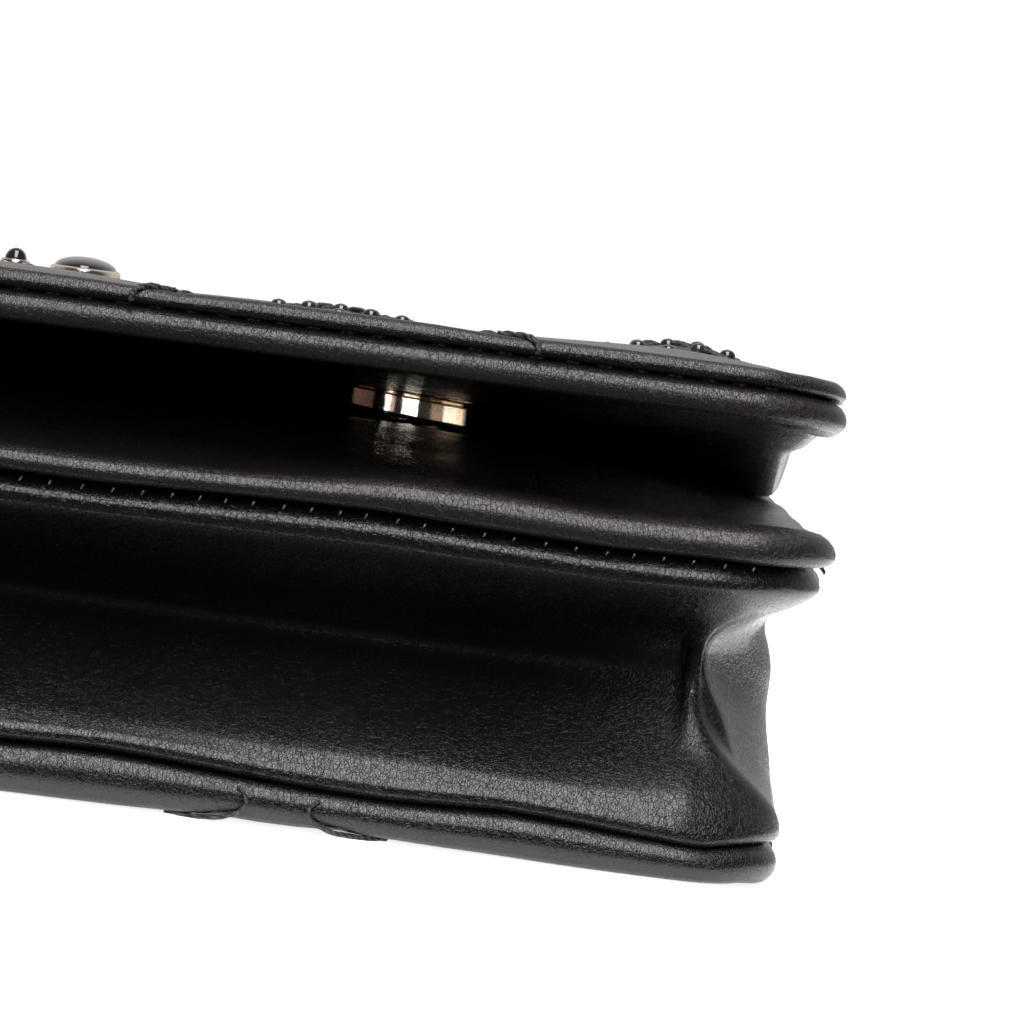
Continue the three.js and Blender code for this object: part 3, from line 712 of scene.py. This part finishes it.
# ---- Gusset ------------------------------------------------------------------------------------
SIDE_SECTION = [
    (1.8, 3.0), (1.0, 3.1), (0.4, 3.4), (0.08, 3.85), (0.3, 4.45), (0.85, 5.0), (1.5, 5.75), (2.5, 6.5),
    (4.6, 7.8), (7.6, 9.6), (10.6, 11.6), (13.4, 13.4), (11.6, 15.0), (8.6, 16.5), (5.4, 17.8), (3.0, 18.9),
    (1.3, 19.7), (0.25, 20.35), (-0.15, 20.95), (-0.1, 21.4), (0.12, 21.8), (0.5, 22.15), (1.0, 22.42),
    (1.6, 22.52)]
CORNER_SECTION = [
    (1.6, 3.0), (0.8, 3.05), (0.15, 3.3), (-0.1, 3.7), (0.2, 4.6), (1.0, 5.7), (2.3, 7.0), (3.8, 8.6),
    (5.1, 10.4), (6.0, 12.0), (6.5, 13.2), (6.8, 14.7), (6.7, 16.2), (5.8, 17.4), (3.9, 18.4), (1.8, 19.3),
    (0.1, 20.2), (-0.65, 20.9), (-0.6, 21.4), (-0.3, 21.8), (0.15, 22.15), (0.8, 22.42), (1.6, 22.54)]
BOTTOM_SECTION = [
    (1.6, 3.0), (0.8, 3.05), (0.1, 3.3), (-0.2, 3.8), (0.0, 4.8), (0.25, 5.9), (0.5, 6.9), (0.85, 8.6),
    (1.1, 10.2), (1.25, 11.8), (1.3, 13.2), (1.45, 14.7), (1.9, 16.2), (2.3, 17.4), (2.1, 18.3), (1.1, 19.2),
    (-0.3, 20.1), (-1.05, 20.8), (-1.0, 21.4), (-0.65, 21.8), (-0.1, 22.15), (0.7, 22.42), (1.6, 22.54)]
GUSSET_STEP = 0.9
GUSSET_PATH = np.array(three_sides(95.7, -61.3, MOUTH_Y, 8.0, GUSSET_STEP, 30, 70))


def gusset_surface():
    """The strip's outer face: a section through the thickness at every place along the path."""
    count = 72
    even = np.linspace(0, 1, count)
    sections = []
    for section in (SIDE_SECTION, CORNER_SECTION, BOTTOM_SECTION):
        curve = spline([(n, z, 0) for n, z in section], 0.2)[0][:, :2]
        run = np.linspace(0, 1, len(curve))
        sections.append(np.stack([np.interp(even, run, curve[:, k]) for k in range(2)], 1))
    x, y, nx, ny = GUSSET_PATH.T[:, :, None]
    on_side, on_bottom = smooth(-60, -36, y), smooth(89, 74, np.abs(x))
    shares = (on_side, 1 - on_side - on_bottom, on_bottom)
    n, z = (sum(share * section[None, :, k] for share, section in zip(shares, sections)) for k in range(2))
    crown = (front_level(x, y) - FRONT_RIM_Z) * smooth(-40, -60, y)
    z = z + smooth(7.5, 3.0, z) * rim_c(x, y) + smooth(17, 22.4, z) * (crown + rim_b(x, y))
    free = smooth(3.6, 7.0, z) * smooth(22.0, 18.5, z)
    run = np.arange(len(GUSSET_PATH))[:, None] * GUSSET_STEP
    n = n + free * (0.14 * ripple(run, z * 1.2, 34, 21) + 0.02 * ripple(run, z * 1.8, 11, 22))
    n = n + 0.12 * ripple(run, z * 0.3, 22, 23) * smooth(3.2, 4.2, z) * smooth(7.5, 5.0, z)
    corner = np.exp(-(((np.abs(x) - 86) / 11.0) ** 2) - ((y + 59.0) / 7.0) ** 2)
    n = n + corner * free * (0.3 * np.sin(0.85 * z + 0.3 * run) + 0.25 * ripple(run, z * 1.3, 13, 24))
    return np.stack([x + nx * n, y + ny * n, np.broadcast_to(z, n.shape)], 2)


def build_gusset():
    outer, thickness = gusset_surface(), 1.3
    rows, columns = outer.shape[:2]
    normal = np.cross(np.gradient(outer, axis=0), np.gradient(outer, axis=1))
    normal /= np.linalg.norm(normal, axis=2)[..., None]
    facing = (normal[..., :2] * GUSSET_PATH[:, None, 2:4]).sum(2)
    normal *= np.where(facing[:, columns // 4].mean() < 0, -1.0, 1.0)
    inner = outer + normal * thickness
    points = np.vstack([outer.reshape(-1, 3), inner.reshape(-1, 3)])
    size = rows * columns
    faces = lattice_faces(rows, columns) + lattice_faces(rows, columns, start=size, flip=True)
    loop = border(rows, columns)
    faces += [(b, a, a + size, b + size) for a, b in zip(loop, loop[1:] + loop[:1])]
    gusset = face_outwards(make_mesh("gusset_leather", points, faces, M_GUSSET))
    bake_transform(gusset)
    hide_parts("gusset")


build_gusset()


def sew_rim(heap, rect, corner, z_at, inset, pitch, radius, length, lean):
    """Short stitches in the groove along a panel's sides and bottom, left out round its corners."""
    rng = np.random.default_rng(7)
    x0, x1, y0, y1 = rect[0] + inset, rect[1] - inset, rect[2] + inset, rect[3] - inset
    r = corner - inset
    path = [(x0, y) for y in np.arange(y1, y0 + r, -0.5)]
    path += [(x0 + r - r * math.sin(a), y0 + r - r * math.cos(a)) for a in np.linspace(math.pi / 2, 0, 24)]
    path += [(x, y0) for x in np.arange(x0 + r + 0.5, x1 - r, 0.5)]
    path += [(x1 - r + r * math.sin(a), y0 + r - r * math.cos(a)) for a in np.linspace(0, math.pi / 2, 24)]
    path += [(x1, y) for y in np.arange(y0 + r, y1, 0.5)]
    path = np.array(path)
    run = np.concatenate([[0], np.cumsum(np.linalg.norm(np.diff(path, axis=0), axis=1))])

    def at(distance):
        return [np.interp(distance, run, path[:, k]) for k in (0, 1)]

    place = 2.0
    while place < run[-1] - 2:
        px, py = at(place)
        if abs(px) > x1 - r + 2 and py < y0 + r - 2:
            place += pitch
            continue
        ends = []
        for side in (-1, 1):
            px, py = at(place + side * length / 2)
            ends.append((px, py, float(z_at(px, py)) + side * lean))
        out = (np.sign(ends[0][0]), 0, 0) if abs(ends[0][0]) > x1 - 5 else (0, -1, 0)
        stitch(heap, *ends, out, radius, sag=radius)
        place += pitch * (1 + 0.12 * rng.uniform(-1, 1))


# ---- Front panel -------------------------------------------------------------------------------
FRONT_RECT = (-96.4, 96.4, -62.75, MOUTH_Y)


def front_over(x, y):
    creases = 0.05 * ripple(x * 0.5, y * 1.6, 9, 31) + 0.09 * ripple(x, y, 33, 32)
    side = (HALF_W - np.abs(x) - 3.5).clip(0, None)
    shoulder = (0.05 + 0.7 * smooth(-20, -38, y)) * np.exp(-((side / 6.0) ** 2))
    sag = 0.55 * smooth(92, 60, np.abs(x)) * np.exp(-(((y + 62) / 8.0) ** 2))
    press = 0.3 * smooth(16, 8, np.hypot(x, y - SNAP_Y))
    hump = contact(x, y) * smooth(-62, -50, y) * (1.5 + 0.9 * np.exp(-(((x - 52) / 12.0) ** 2)))
    top = front_under(x, y) + FRONT_T + shoulder - sag - press + hump
    return top + creases * smooth(0, 5, HALF_W - np.abs(x))


def front_low(x, y):
    return front_under(x, y) + 0.02 + 0.07 * ripple(x, y, 30, 33)


def build_front():
    front = panel(
        "front_leather", FRONT_RECT, (7, 7, 2, 2), front_over, front_low, M_FRONT_LIGHTENED, roll=1.9, seed=13,
        nose=1.35)
    fasten(front, "front", "plain_leather", "front_panel")
    heap = Heap()
    sew_rim(heap, FRONT_RECT, 7, lambda x, y: front_low(x, y) - 0.26, 0.62, 2.05, 0.07, 0.14, 0.17)
    fasten(heap.build("front_rim_thread", M_THREAD_PALE), "front", "plain_leather")


build_front()


# ---- Flap: outer leather that carries on over the hinge as the spine, and its lining ---------------
FLAP_RECT = (-95.9, 95.9, -62.0, FLAP_END_Y)
ARC = HINGE_R * math.pi / 2
SPINE_RUN = (FLAP_LOW_Z + FLAP_LINING_T + 0.05 - HINGE_R) - SPINE_LOW_Z
SKIN_RECT = (*FLAP_RECT[:3], FLAP_END_Y + ARC + SPINE_RUN)


def skin_over(x, w):
    """Thickness of the quilted skin above its own underside."""
    puff = quilt(x, w, FLAP_CELL, FLAP_ORIGIN, 41)
    rim = np.minimum(FLAP_RECT[1] - np.abs(x), w - FLAP_RECT[2])
    fold = 1 - 0.55 * np.exp(-(((w - FLAP_END_Y - ARC / 2) / 5.0) ** 2))
    flat = smooth(17, 11, np.hypot(x, (w - 2.5) * 1.3))
    puff = puff * (1 - 0.75 * flat)
    crossing = np.hypot(*seams(x, w, FLAP_CELL, FLAP_ORIGIN))
    puff = np.maximum(puff, 0.8 * np.exp(-((crossing / 5.2) ** 4)) * (1 - flat))
    edge = smooth(0.3, 6, rim)
    filled = flap_dip(x, np.minimum(w, FLAP_END_Y)) * smooth(30, 62, np.abs(x)) * smooth(0, 13, rim)
    filled = filled * (0.6 + 0.22 * smooth(-38, -48, w))
    return 1.12 - 0.3 * edge + (0.32 + 0.6 * edge) * puff * fold + filled


def skin_under(x, w):
    return np.zeros(np.broadcast(x, w).shape)


def wrap(points):
    """Carries the flat skin over the hinge: along the flap, round the fold and down the spine."""
    x, w, h = points.T
    base = flap_under(x, np.minimum(w, FLAP_END_Y)) + FLAP_LINING_T + 0.05
    turn = ((w - FLAP_END_Y) / HINGE_R).clip(0, math.pi / 2)
    down = (w - FLAP_END_Y - ARC).clip(0, None)
    r = HINGE_R + h
    y = np.where(w <= FLAP_END_Y, w, FLAP_END_Y + r * np.sin(turn))
    z = np.where(w <= FLAP_END_Y, base + h, base - HINGE_R + r * np.cos(turn) - down)
    return np.column_stack([x, y, z])


def skin_place(p):
    return wrap(np.column_stack([p, skin_over(p[:, 0], p[:, 1]) + 0.02]))


def skin_normal(middle):
    turn = float(np.clip((middle[1] - FLAP_END_Y) / HINGE_R, 0, math.pi / 2))
    return (0, math.sin(turn), math.cos(turn))


def flap_base(x, y):
    """Level of the seam between the flap's lining and its quilted leather."""
    return flap_under(x, y) + FLAP_LINING_T


def lining_over(x, y):
    return flap_base(x, y) - 0.02


def lining_under(x, y):
    """The lining's face: its own hanging shape, held off the front panel where the two would meet."""
    creases = 0.05 * ripple(x * 1.2 + y, y * 1.6 - x * 0.4, 7, 51) + 0.1 * ripple(x, y, 36, 52)
    plain = flap_under(x, y) + creases * smooth(1, 8, HALF_W - np.abs(x))
    rim = np.minimum(HALF_W - np.abs(x), y + HALF_H)
    plain = plain - 0.8 * np.exp(-(((rim - 1.5).clip(0, None) / 3.5) ** 2)) * smooth(52, 40, y)
    resting, share = front_over(x, y) + 0.12, contact(x, y)
    return np.maximum(plain * (1 - share) + np.minimum(plain, resting) * share, resting)


def build_flap():
    skin = panel(
        "flap_leather", SKIN_RECT, (7, 7, 2, 2), skin_over, skin_under, M_FLAP, roll=1.15, bend=wrap, seed=23,
        nose=1.7)
    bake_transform(skin)
    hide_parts("flap_outer", "spine")
    heap = Heap()
    sew_lattice(heap, SKIN_RECT, FLAP_CELL, FLAP_ORIGIN, skin_place, skin_normal, 1.6)
    ends = [end for end in seam_ends(SKIN_RECT, FLAP_CELL, FLAP_ORIGIN) if end[0][1] < FLAP_END_Y - 4]
    sew_over_edge(heap, ends, 1.15, lambda x, y: skin_place(np.column_stack([x, y]))[:, 2],
                  lambda x, y: flap_base(x, y) + 0.05, nose=1.7)
    threads = heap.build("flap_quilt_thread", M_THREAD)
    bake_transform(threads)
    lining = panel(
        "flap_lining_leather", (-95.9, 95.9, -62.2, FLAP_END_Y), (7, 7, 2, 2), lining_over, lining_under,
        M_FRONT_LIGHTENED, roll=1.35, seed=29, nose=1.3)
    fasten(lining, "flap", "plain_leather", "flap_lining")
    heap = Heap()
    sew_rim(heap, FLAP_RECT, 7, lambda x, y: flap_base(x, y) + 0.02, 1.15, 2.3, 0.09, 1.0, 0.0)
    fasten(heap.build("flap_rim_thread", M_THREAD), "flap", "plain_leather")


build_flap()


# ---- Studs at the flap's quilting crossings ------------------------------------------------------
def dome(radius, height):
    """Points and faces of a low dome with a short straight foot and a flat underside."""
    rows, sides = 6, 14
    lifts = [row / rows for row in range(rows)]
    rings = [(radius, -0.25)] + [(radius * math.sqrt(1 - lift**2.2), height * lift) for lift in lifts]
    points = [(r * math.cos(a), r * math.sin(a), z) for r, z in rings for a in circle(sides)]
    faces = lattice_faces(rows + 1, sides, close=True)
    tip, first = len(points), rows * sides
    faces += [(first + s, first + (s + 1) % sides, tip) for s in range(sides)]
    faces.append(tuple(range(sides))[::-1])
    return np.array(points + [(0, 0, height)]), faces


def build_studs():
    """Nine studs in a diamond at every crossing, but none under the plaque."""
    heap = Heap()
    points, faces = dome(0.62, 0.55)
    pitch = 3.1
    for i, j in np.ndindex(11, 8):
        cx = FLAP_ORIGIN[0] + FLAP_CELL[0] * (i - 5 + ((j - 3) % 2) / 2)
        cy = FLAP_ORIGIN[1] + FLAP_CELL[1] * (j - 3) / 2
        if abs(cx) > 90 or not -56 < cy < 50 or math.hypot(cx, cy - 2.5) < 16:
            continue
        for a, b in np.ndindex(3, 3):
            px, py = cx + pitch * (a + b - 2) / math.sqrt(2), cy + pitch * (a - b) / math.sqrt(2)
            if abs(px) <= 94:
                z = float(skin_place(np.array([[px, py]]))[0, 2])
                heap.add(points + (px, py, z - 0.12), faces)
    fasten(heap.build("flap_studs", M_STUD), "flap", "black_enamel")
build_studs()


# ---- Turned metal pieces -------------------------------------------------------------------------
def turned(name, profile, centre, material, sides=96, squeeze=1.0, slant=0.0):
    """A solid of revolution about a line along Z, through [radius, height] points."""
    points = []
    for radius, z in profile:
        for a in circle(sides):
            y = radius * math.sin(a)
            points.append((centre[0] + squeeze * radius * math.cos(a), centre[1] + y, z + slant * y))
    faces = lattice_faces(len(profile), sides, close=True) + end_caps(len(profile), sides)
    return face_outwards(make_mesh(name, points, faces, material))


def rounded(profile, radius=0.12, steps=4):
    """The same profile with each inner corner turned into a small arc."""
    p = [np.array(v, float) for v in profile]
    out = [p[0]]
    for before, here, after in zip(p, p[1:], p[2:]):
        a, b = before - here, after - here
        far_a, far_b = np.linalg.norm(a), np.linalg.norm(b)
        cut = min(radius, far_a / 2.1, far_b / 2.1)
        start, end = here + a / far_a * cut, here + b / far_b * cut
        out.append(start + a / far_a * min(0.04, far_a / 12))
        for t in np.linspace(0, 1, steps + 1):
            out.append((1 - t) ** 2 * start + 2 * t * (1 - t) * here + t**2 * end)
        out.append(end + b / far_b * min(0.04, far_b / 12))
    return out + [p[-1]]


def build_snap():
    """The socket under the flap hangs a little clear of the stud on the front panel."""
    flange = float(flap_under(0, SNAP_Y)) + 0.05
    front = float(front_over(0.0, SNAP_Y))
    low = front + 0.36
    cup = [
        (1.9, flange - 0.9), (1.9, low + 0.35), (2.5, low + 0.1), (3.3, low + 0.35), (3.4, low + 0.7),
        (3.9, low + 0.7), (4.1, low + 0.3), (4.5, low + 0.15), (4.85, low + 0.25), (4.95, low + 0.45),
        (4.95, flange - 0.6), (4.6, flange - 0.46), (5.2, flange - 0.3), (5.35, flange - 0.12),
        (5.2, flange + 0.02), (1.9, flange + 0.02)]
    post = [
        (0.0, -2.6), (3.0, -2.6), (3.0, -2.2), (1.45, -2.1), (1.45, -0.05), (2.9, -0.02), (3.0, 0.12),
        (2.6, 0.28), (1.5, 0.34), (1.45, 0.5), (1.7, 0.75), (1.45, 1.0), (0.9, 1.15), (0.0, 1.2)]
    post = [(radius, front + z) for radius, z in post]
    centre = (0, SNAP_Y)
    socket = turned("snap_socket_detail", rounded(cup), centre, M_SNAP, 128, slant=0.066)
    fasten(socket, "flap", "snap_metal", "snap_socket")
    stud = turned("snap_stud_detail", rounded(post, 0.1), centre, M_SNAP, 64)
    fasten(stud, "front", "snap_metal", "snap_stud")


build_snap()


def build_plaque():
    """An oval plate with two stones and a bead, each in its bezel, pressed a little into the flap."""
    drop = Vector((0, 0, 0.2))
    low, high = (corner - drop for corner in solid_box("plaque"))
    half_x, half_y = high.x, (high.y - low.y) / 2
    plate = [
        (0.0, -0.9), (half_y - 1.2, -0.9), (half_y - 0.25, -0.35), (half_y, 0.1), (half_y - 0.15, 0.62),
        (half_y - 0.7, 0.78), (half_y - 1.1, 0.62), (half_y - 1.4, 0.55), (half_y - 1.8, 0.68), (0.0, 0.78)]
    plate = rounded([(radius, low.z + z) for radius, z in plate], 0.12, 3)
    centre = (0, (low.y + high.y) / 2)
    made = turned("plaque_plate", plate, centre, M_PLAQUE, 128, half_x / half_y)
    fasten(made, "flap", "plaque_metal", "plaque")
    for name in ("plaque_stone_lower", "plaque_stone_upper", "plaque_bead"):
        lo, hi = (corner - drop for corner in solid_box(name))
        r, squash = (hi.y - lo.y) / 2, (hi.x - lo.x) / (hi.y - lo.y)
        centre = ((lo.x + hi.x) / 2, (lo.y + hi.y) / 2)
        cap = [(0.0, lo.z - 0.28), (r, lo.z - 0.28)]
        for a in np.linspace(0, 1.56, 14):
            cap.append((r * math.cos(a), lo.z + 0.1 + (hi.z - lo.z) * math.sin(a) ** 0.9))
        stone = turned(name + "_polished", cap, centre, M_ENAMEL, 48, squash)
        fasten(stone, "flap", "black_enamel", name)
        collar = [
            (r - 0.25, lo.z - 0.3), (r + 0.32, lo.z - 0.3), (r + 0.3, lo.z + 0.12), (r + 0.12, lo.z + 0.3),
            (r - 0.1, lo.z + 0.25), (r - 0.25, lo.z)]
        bezel = turned(name + "_bezel", rounded(collar, 0.08, 2), centre, M_PLAQUE, 48, squash)
        fasten(bezel, "flap", "plaque_metal")


build_plaque()


# ---- Inside leather: linings, card pockets and the zip pocket's walls ------------------------------
def inner_panel(name, node, body, slot, material, radius, seed, over=None, under=None):
    """A thin leather sheet in the place of a solid, with a faint wave or between two given heights."""
    lo, hi = solid_box(node)

    def wave(x, y):
        inside = smooth(0, 8, np.minimum(np.minimum(x - lo.x, hi.x - x), np.minimum(y - lo.y, hi.y - y)))
        return 0.04 * ripple(x, y, 24, seed) * inside

    over = over or (lambda x, y: hi.z - 0.03 + wave(x, y))
    under = under or (lambda x, y: lo.z + 0.03 + wave(x, y))
    made = panel(name, (lo.x, hi.x, lo.y, hi.y), (radius,) * 4, over, under, material,
                 roll=0.3, fine=0.9, coarse=3.2, band=4, turn=5, wander=0.05, seed=seed)
    fasten(made, body, slot, node)
    return lo, hi


def sew_row(heap, x0, x1, y, z, up):
    """A straight row of stitches along X."""
    for x in np.arange(x0, x1, 2.6):
        stitch(heap, (x, y, z), (x + 1.9, y, z), (0, 0, up), 0.16)


def build_inside():
    inner_panel("back_lining_skin", "back_lining", "case", "lining_leather", M_LINING, 4, 61)
    heap = Heap()
    for side in ("left", "right"):
        for step in (1, 2, 3):
            node = f"card_pocket_{side}_{step}"
            lo, hi = inner_panel(f"{node}_leather", node, "case", "plain_leather", M_STRAP, 2, 62 + step)
            sew_row(heap, lo.x + 2.4, hi.x - 2.4, hi.y - 1.6, hi.z + 0.02, 1)
    fasten(heap.build("card_pocket_thread", M_THREAD), "case", "plain_leather")
    inner_panel("front_lining_skin", "front_lining", "front", "lining_leather", M_LINING, 2, 71,
                over=lambda x, y: front_under(x, y) - 1.1, under=lambda x, y: front_under(x, y) - 1.85)
    heap = Heap()
    for node, up in (("pocket_leaf_back", -1), ("pocket_leaf_front", 1)):
        lo, hi = inner_panel(f"{node}_leather", node, "pocket", "plain_leather", M_STRAP, 4, 75 + up)
        z = hi.z + 0.02 if up > 0 else lo.z - 0.02
        sew_row(heap, lo.x + 3, hi.x - 3, hi.y - 1.8, z, up)
    fasten(heap.build("pocket_thread", M_THREAD), "pocket", "plain_leather")


build_inside()


def build_pocket_strip():
    """The pocket's side wall: a thin strip with a soft fold, round three sides."""
    lo, hi = solid_box("pocket_side_strip")
    path = three_sides(hi.x - 0.2, lo.y + 0.2, hi.y, 4.0, 2.0, 10, 34)
    steps, fold, thickness = 12, 0.75, 0.55
    rise = [k / (steps - 1) for k in range(steps)]
    section = [(fold * math.sin(math.pi * t) ** 1.5, t) for t in rise]
    section += [(fold * math.sin(math.pi * (1 - t)) ** 1.5 + thickness, 1 - t) for t in rise]
    points = []
    for px, py, nx, ny in path:
        points += [(px + nx * n, py + ny * n, lo.z + (hi.z - lo.z) * t) for n, t in section]
    faces = lattice_faces(len(path), len(section), close=True) + end_caps(len(path), len(section))
    strip = make_mesh("pocket_side_strip_fold", points, faces, M_LINING)
    fasten(strip, "pocket", "lining_leather", "pocket_side_strip")


build_pocket_strip()


# ---- Zip -----------------------------------------------------------------------------------------
def block(lo, hi, bevel):
    """Points and faces of a box with chamfered edges."""
    lo, hi = np.array(lo, float), np.array(hi, float)
    mesh = bmesh.new()
    bmesh.ops.create_cube(mesh, size=1)
    for v in mesh.verts:
        v.co = Vector((lo + hi) / 2 + np.array(v.co) * (hi - lo))
    corners = mesh.edges[:] + mesh.verts[:]
    bmesh.ops.bevel(mesh, geom=corners, offset=bevel, segments=2, profile=0.6, affect="EDGES")
    points = np.array([v.co for v in mesh.verts])
    faces = [tuple(v.index for v in f.verts) for f in mesh.faces]
    mesh.free()
    return points, faces


def build_zip():
    for side, shift in (("back", 0.0), ("front", 0.9)):
        tape, teeth = f"zip_tape_{side}", f"zip_teeth_{side}"
        lo, hi = solid_box(tape)
        made = panel(
            f"{tape}_woven", (lo.x, hi.x, lo.z, hi.z), (0.4,) * 4,
            lambda x, y, top=hi.y: np.full(x.shape, top) + 0.02 * ripple(x, y, 11, 81),
            lambda x, y, low=lo.y: np.full(x.shape, low), M_TAPE, roll=0.25, fine=0.4, coarse=1.2, band=1,
            turn=5, wander=0, bend=lambda p: p[:, [0, 2, 1]])
        made.data.flip_normals()
        fasten(made, "pocket", "zip_tape", tape)
        lo, hi = solid_box(teeth)
        heap = Heap()
        for x in np.arange(lo.x + 0.5 + shift, hi.x - 0.7, 1.8):
            heap.add(*block((x, lo.y, lo.z), (x + 1.1, hi.y, hi.z), 0.16))
        heap.add(*block((lo.x, lo.y, lo.z + 0.2), (hi.x, lo.y + 0.35, hi.z - 0.2), 0.1))
        fasten(heap.build(f"{teeth}_row", M_METAL), "pocket", "zip_metal", teeth)
    for name in ("zip_stop_left", "zip_stop_right"):
        stop = make_mesh(f"{name}_crimp", *block(*solid_box(name), 0.3), M_METAL)
        fasten(stop, "pocket", "zip_metal", name)


build_zip()


# ---- Hard CAD nodes that keep their shape ----------------------------------------------------------
for node in ("zip_slider", "zip_pull"):
    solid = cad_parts[node]
    solid.data.materials.clear()
    solid.data.materials.append(M_METAL)


def build_fittings():
    """Strap rings of round wire, and the folded leather tabs that hold them."""
    ring_r, ring_wire, thick, mid, sides = 5.5, 0.9, 1.0, 1.8, 18
    outline = [(x, -mid) for x in (87.0, 91.0, 93.0, 95.0)]
    outline += [(96.0 + mid * math.sin(a), -mid * math.cos(a)) for a in np.linspace(0.1, math.pi - 0.1, 14)]
    outline += [(x, mid) for x in (95.0, 93.0, 91.0, 87.0)]
    outline = np.array(outline)
    tangent = np.gradient(outline, axis=0)
    tangent /= np.linalg.norm(tangent, axis=1)[:, None]
    across = np.column_stack([tangent[:, 1], -tangent[:, 0]])
    for side, sign in (("left", -1), ("right", 1)):
        ring = []
        for a in circle(64):
            ring.append((sign * RING_X + ring_r * math.cos(a), RING_Y + ring_r * math.sin(a), RING_Z))
        wire = make_mesh(f"strap_ring_{side}_wire", *closed_wire(ring, ring_wire, 14), M_CHAIN_DARKENED)
        fasten(wire, "case", "chain_metal", f"strap_ring_{side}")
        points = []
        for place, out in zip(outline, across):
            for a in circle(sides):
                c, s = math.cos(a), math.sin(a)
                dy = 3.45 * np.sign(c) * abs(c) ** 0.35
                dn = thick / 2 * 0.96 * np.sign(s) * abs(s) ** 0.6
                points.append((sign * (place[0] + out[0] * dn), RING_Y + dy, RING_Z + place[1] + out[1] * dn))
        faces = lattice_faces(len(outline), sides, close=True) + end_caps(len(outline), sides)
        tab = face_outwards(make_mesh(f"strap_tab_{side}_leather", points, faces, M_STRAP))
        fasten(tab, "case", "plain_leather", f"strap_tab_{side}")


build_fittings()


# ---- Floor, light and surroundings -----------------------------------------------------------------
def area(name, place, target, width, height, radiance, colour=(1, 1, 1)):
    data = bpy.data.lights.new(name, "AREA")
    data.shape, data.size, data.size_y = "RECTANGLE", width, height
    data.energy, data.color = radiance * math.pi * width * height, colour
    light = bpy.data.objects.new(name, data)
    bpy.context.scene.collection.objects.link(light)
    light.location = Vector(place)
    light.rotation_mode = "QUATERNION"
    light.rotation_quaternion = (Vector(target) - Vector(place)).to_track_quat("-Z", "Y")
    light.visible_camera = False
    return light


def build_floor():
    """A bright pale table, and the same floor carried on outwards where reflections don't see it."""
    n = Nodes("floor_pale")
    colour = n.mix(n.noise(3), (0.93, 0.93, 0.93), (0.95, 0.95, 0.95))
    material = n.shaded(Base_Color=colour, Emission_Color=colour, Roughness=0.85, Emission_Strength=0.9,
                        Specular_IOR_Level=0.1)
    size, level = 3000.0, -0.02
    table = [(-99, -145, level), (175, -145, level), (175, 230, level), (-99, 230, level)]
    outer = [(-size, -size, level), (size, -size, level), (size, size, level), (-size, size, level)]
    near = make_mesh("table", table, [(0, 1, 2, 3)], material, shade=False)
    faces = [(i, i + 4, (i + 1) % 4 + 4, (i + 1) % 4) for i in range(4)]
    far = make_mesh("floor", table + outer, faces, material, shade=False)
    far.visible_glossy = far.visible_diffuse = False
    return near, far


def receivers(light, pieces, name):
    """Lets only these pieces receive a light."""
    only = bpy.data.collections.new(name)
    for piece in pieces:
        only.objects.link(piece)
    light.light_linking.receiver_collection = only


def build_world():
    """White to the camera, and to everything else a soft light that grows towards +X."""
    world = bpy.data.worlds.new("studio")
    bpy.context.scene.world = world
    world.use_nodes = True
    tree = world.node_tree
    tree.nodes.clear()
    place = add_node(tree, "ShaderNodeTexCoord").outputs["Generated"]
    across = add_node(tree, "ShaderNodeSeparateXYZ", {0: place}).outputs["X"]
    strength = add_remap(tree, across, (-0.1, 0.9, 0.06, 0.6), "SMOOTHSTEP")
    lit = add_node(tree, "ShaderNodeBackground", {"Color": (1, 0.965, 0.975, 1), "Strength": strength})
    seen = add_node(tree, "ShaderNodeBackground", {"Color": (1, 1, 1, 1), "Strength": 1.05})
    camera = add_node(tree, "ShaderNodeLightPath").outputs["Is Camera Ray"]
    both = add_node(tree, "ShaderNodeMixShader", {0: camera, 1: lit.outputs[0], 2: seen.outputs[0]})
    add_node(tree, "ShaderNodeOutputWorld", {0: both.outputs[0]})


def snap_card(name, azimuth, spread, radiance, colour, far=0.7, level=0.02, height=0.3):
    """A small upright card, lighting only the snap, at an angle from -X towards -Y."""
    angle = math.radians(azimuth)
    centre = Vector((0, SNAP_Y * MM, 0.0))
    place = centre + Vector((-far * math.cos(angle), -far * math.sin(angle), level))
    width = 2 * far * math.tan(math.radians(spread / 2))
    card = area(name, place, (centre.x, centre.y, level), width, height, radiance, colour)
    snap = [bpy.data.objects[f"snap_{half}_detail"] for half in ("socket", "stud")]
    receivers(card, snap, name + "_sees")
    card.data.cycles.max_bounces = 0
    card.light_linking.blocker_collection = bpy.data.collections.new(name + "_blockers")


def build_stage():
    pieces = build_floor()
    top = bpy.data.objects.new("floor_light", bpy.data.lights.new("floor_light", "SUN"))
    top.data.energy, top.data.angle = 0.7, math.radians(60)
    bpy.context.scene.collection.objects.link(top)
    receivers(top, pieces, "floor_light_sees")
    warm = (1.0, 0.95, 0.955)
    area("key", (-0.47, -0.04, 0.76), (-0.08, -0.03, 0.02), 0.46, 1.2, 8.2, warm)
    fill = area("fill", (-0.95, -0.04, 0.16), (0, -0.04, 0.02), 1.2, 0.26, 8.0, warm)
    fill.visible_glossy = False
    snap_card("snap_left", -45, 21, 18.0, (1, 1, 1))
    snap_card("snap_left_warm", -30, 8, 3.0, (1.0, 0.62, 0.6))
    snap_card("snap_middle", 4, 27, 15.0, (1, 1, 1))
    snap_card("snap_brown", 56, 24, 0.5, (1.0, 0.7, 0.5))
    snap_card("snap_tan", 88, 34, 2.2, (1.0, 0.87, 0.74))
    snap_card("snap_gold", 116, 22, 1.6, (1.0, 0.66, 0.38))
    snap_card("snap_shade", -106, 76, 0.3, (1.0, 0.62, 0.5), 0.055, 0.029, 0.005)
    build_world()
    bpy.context.scene.view_settings.view_transform = "Standard"


build_stage()
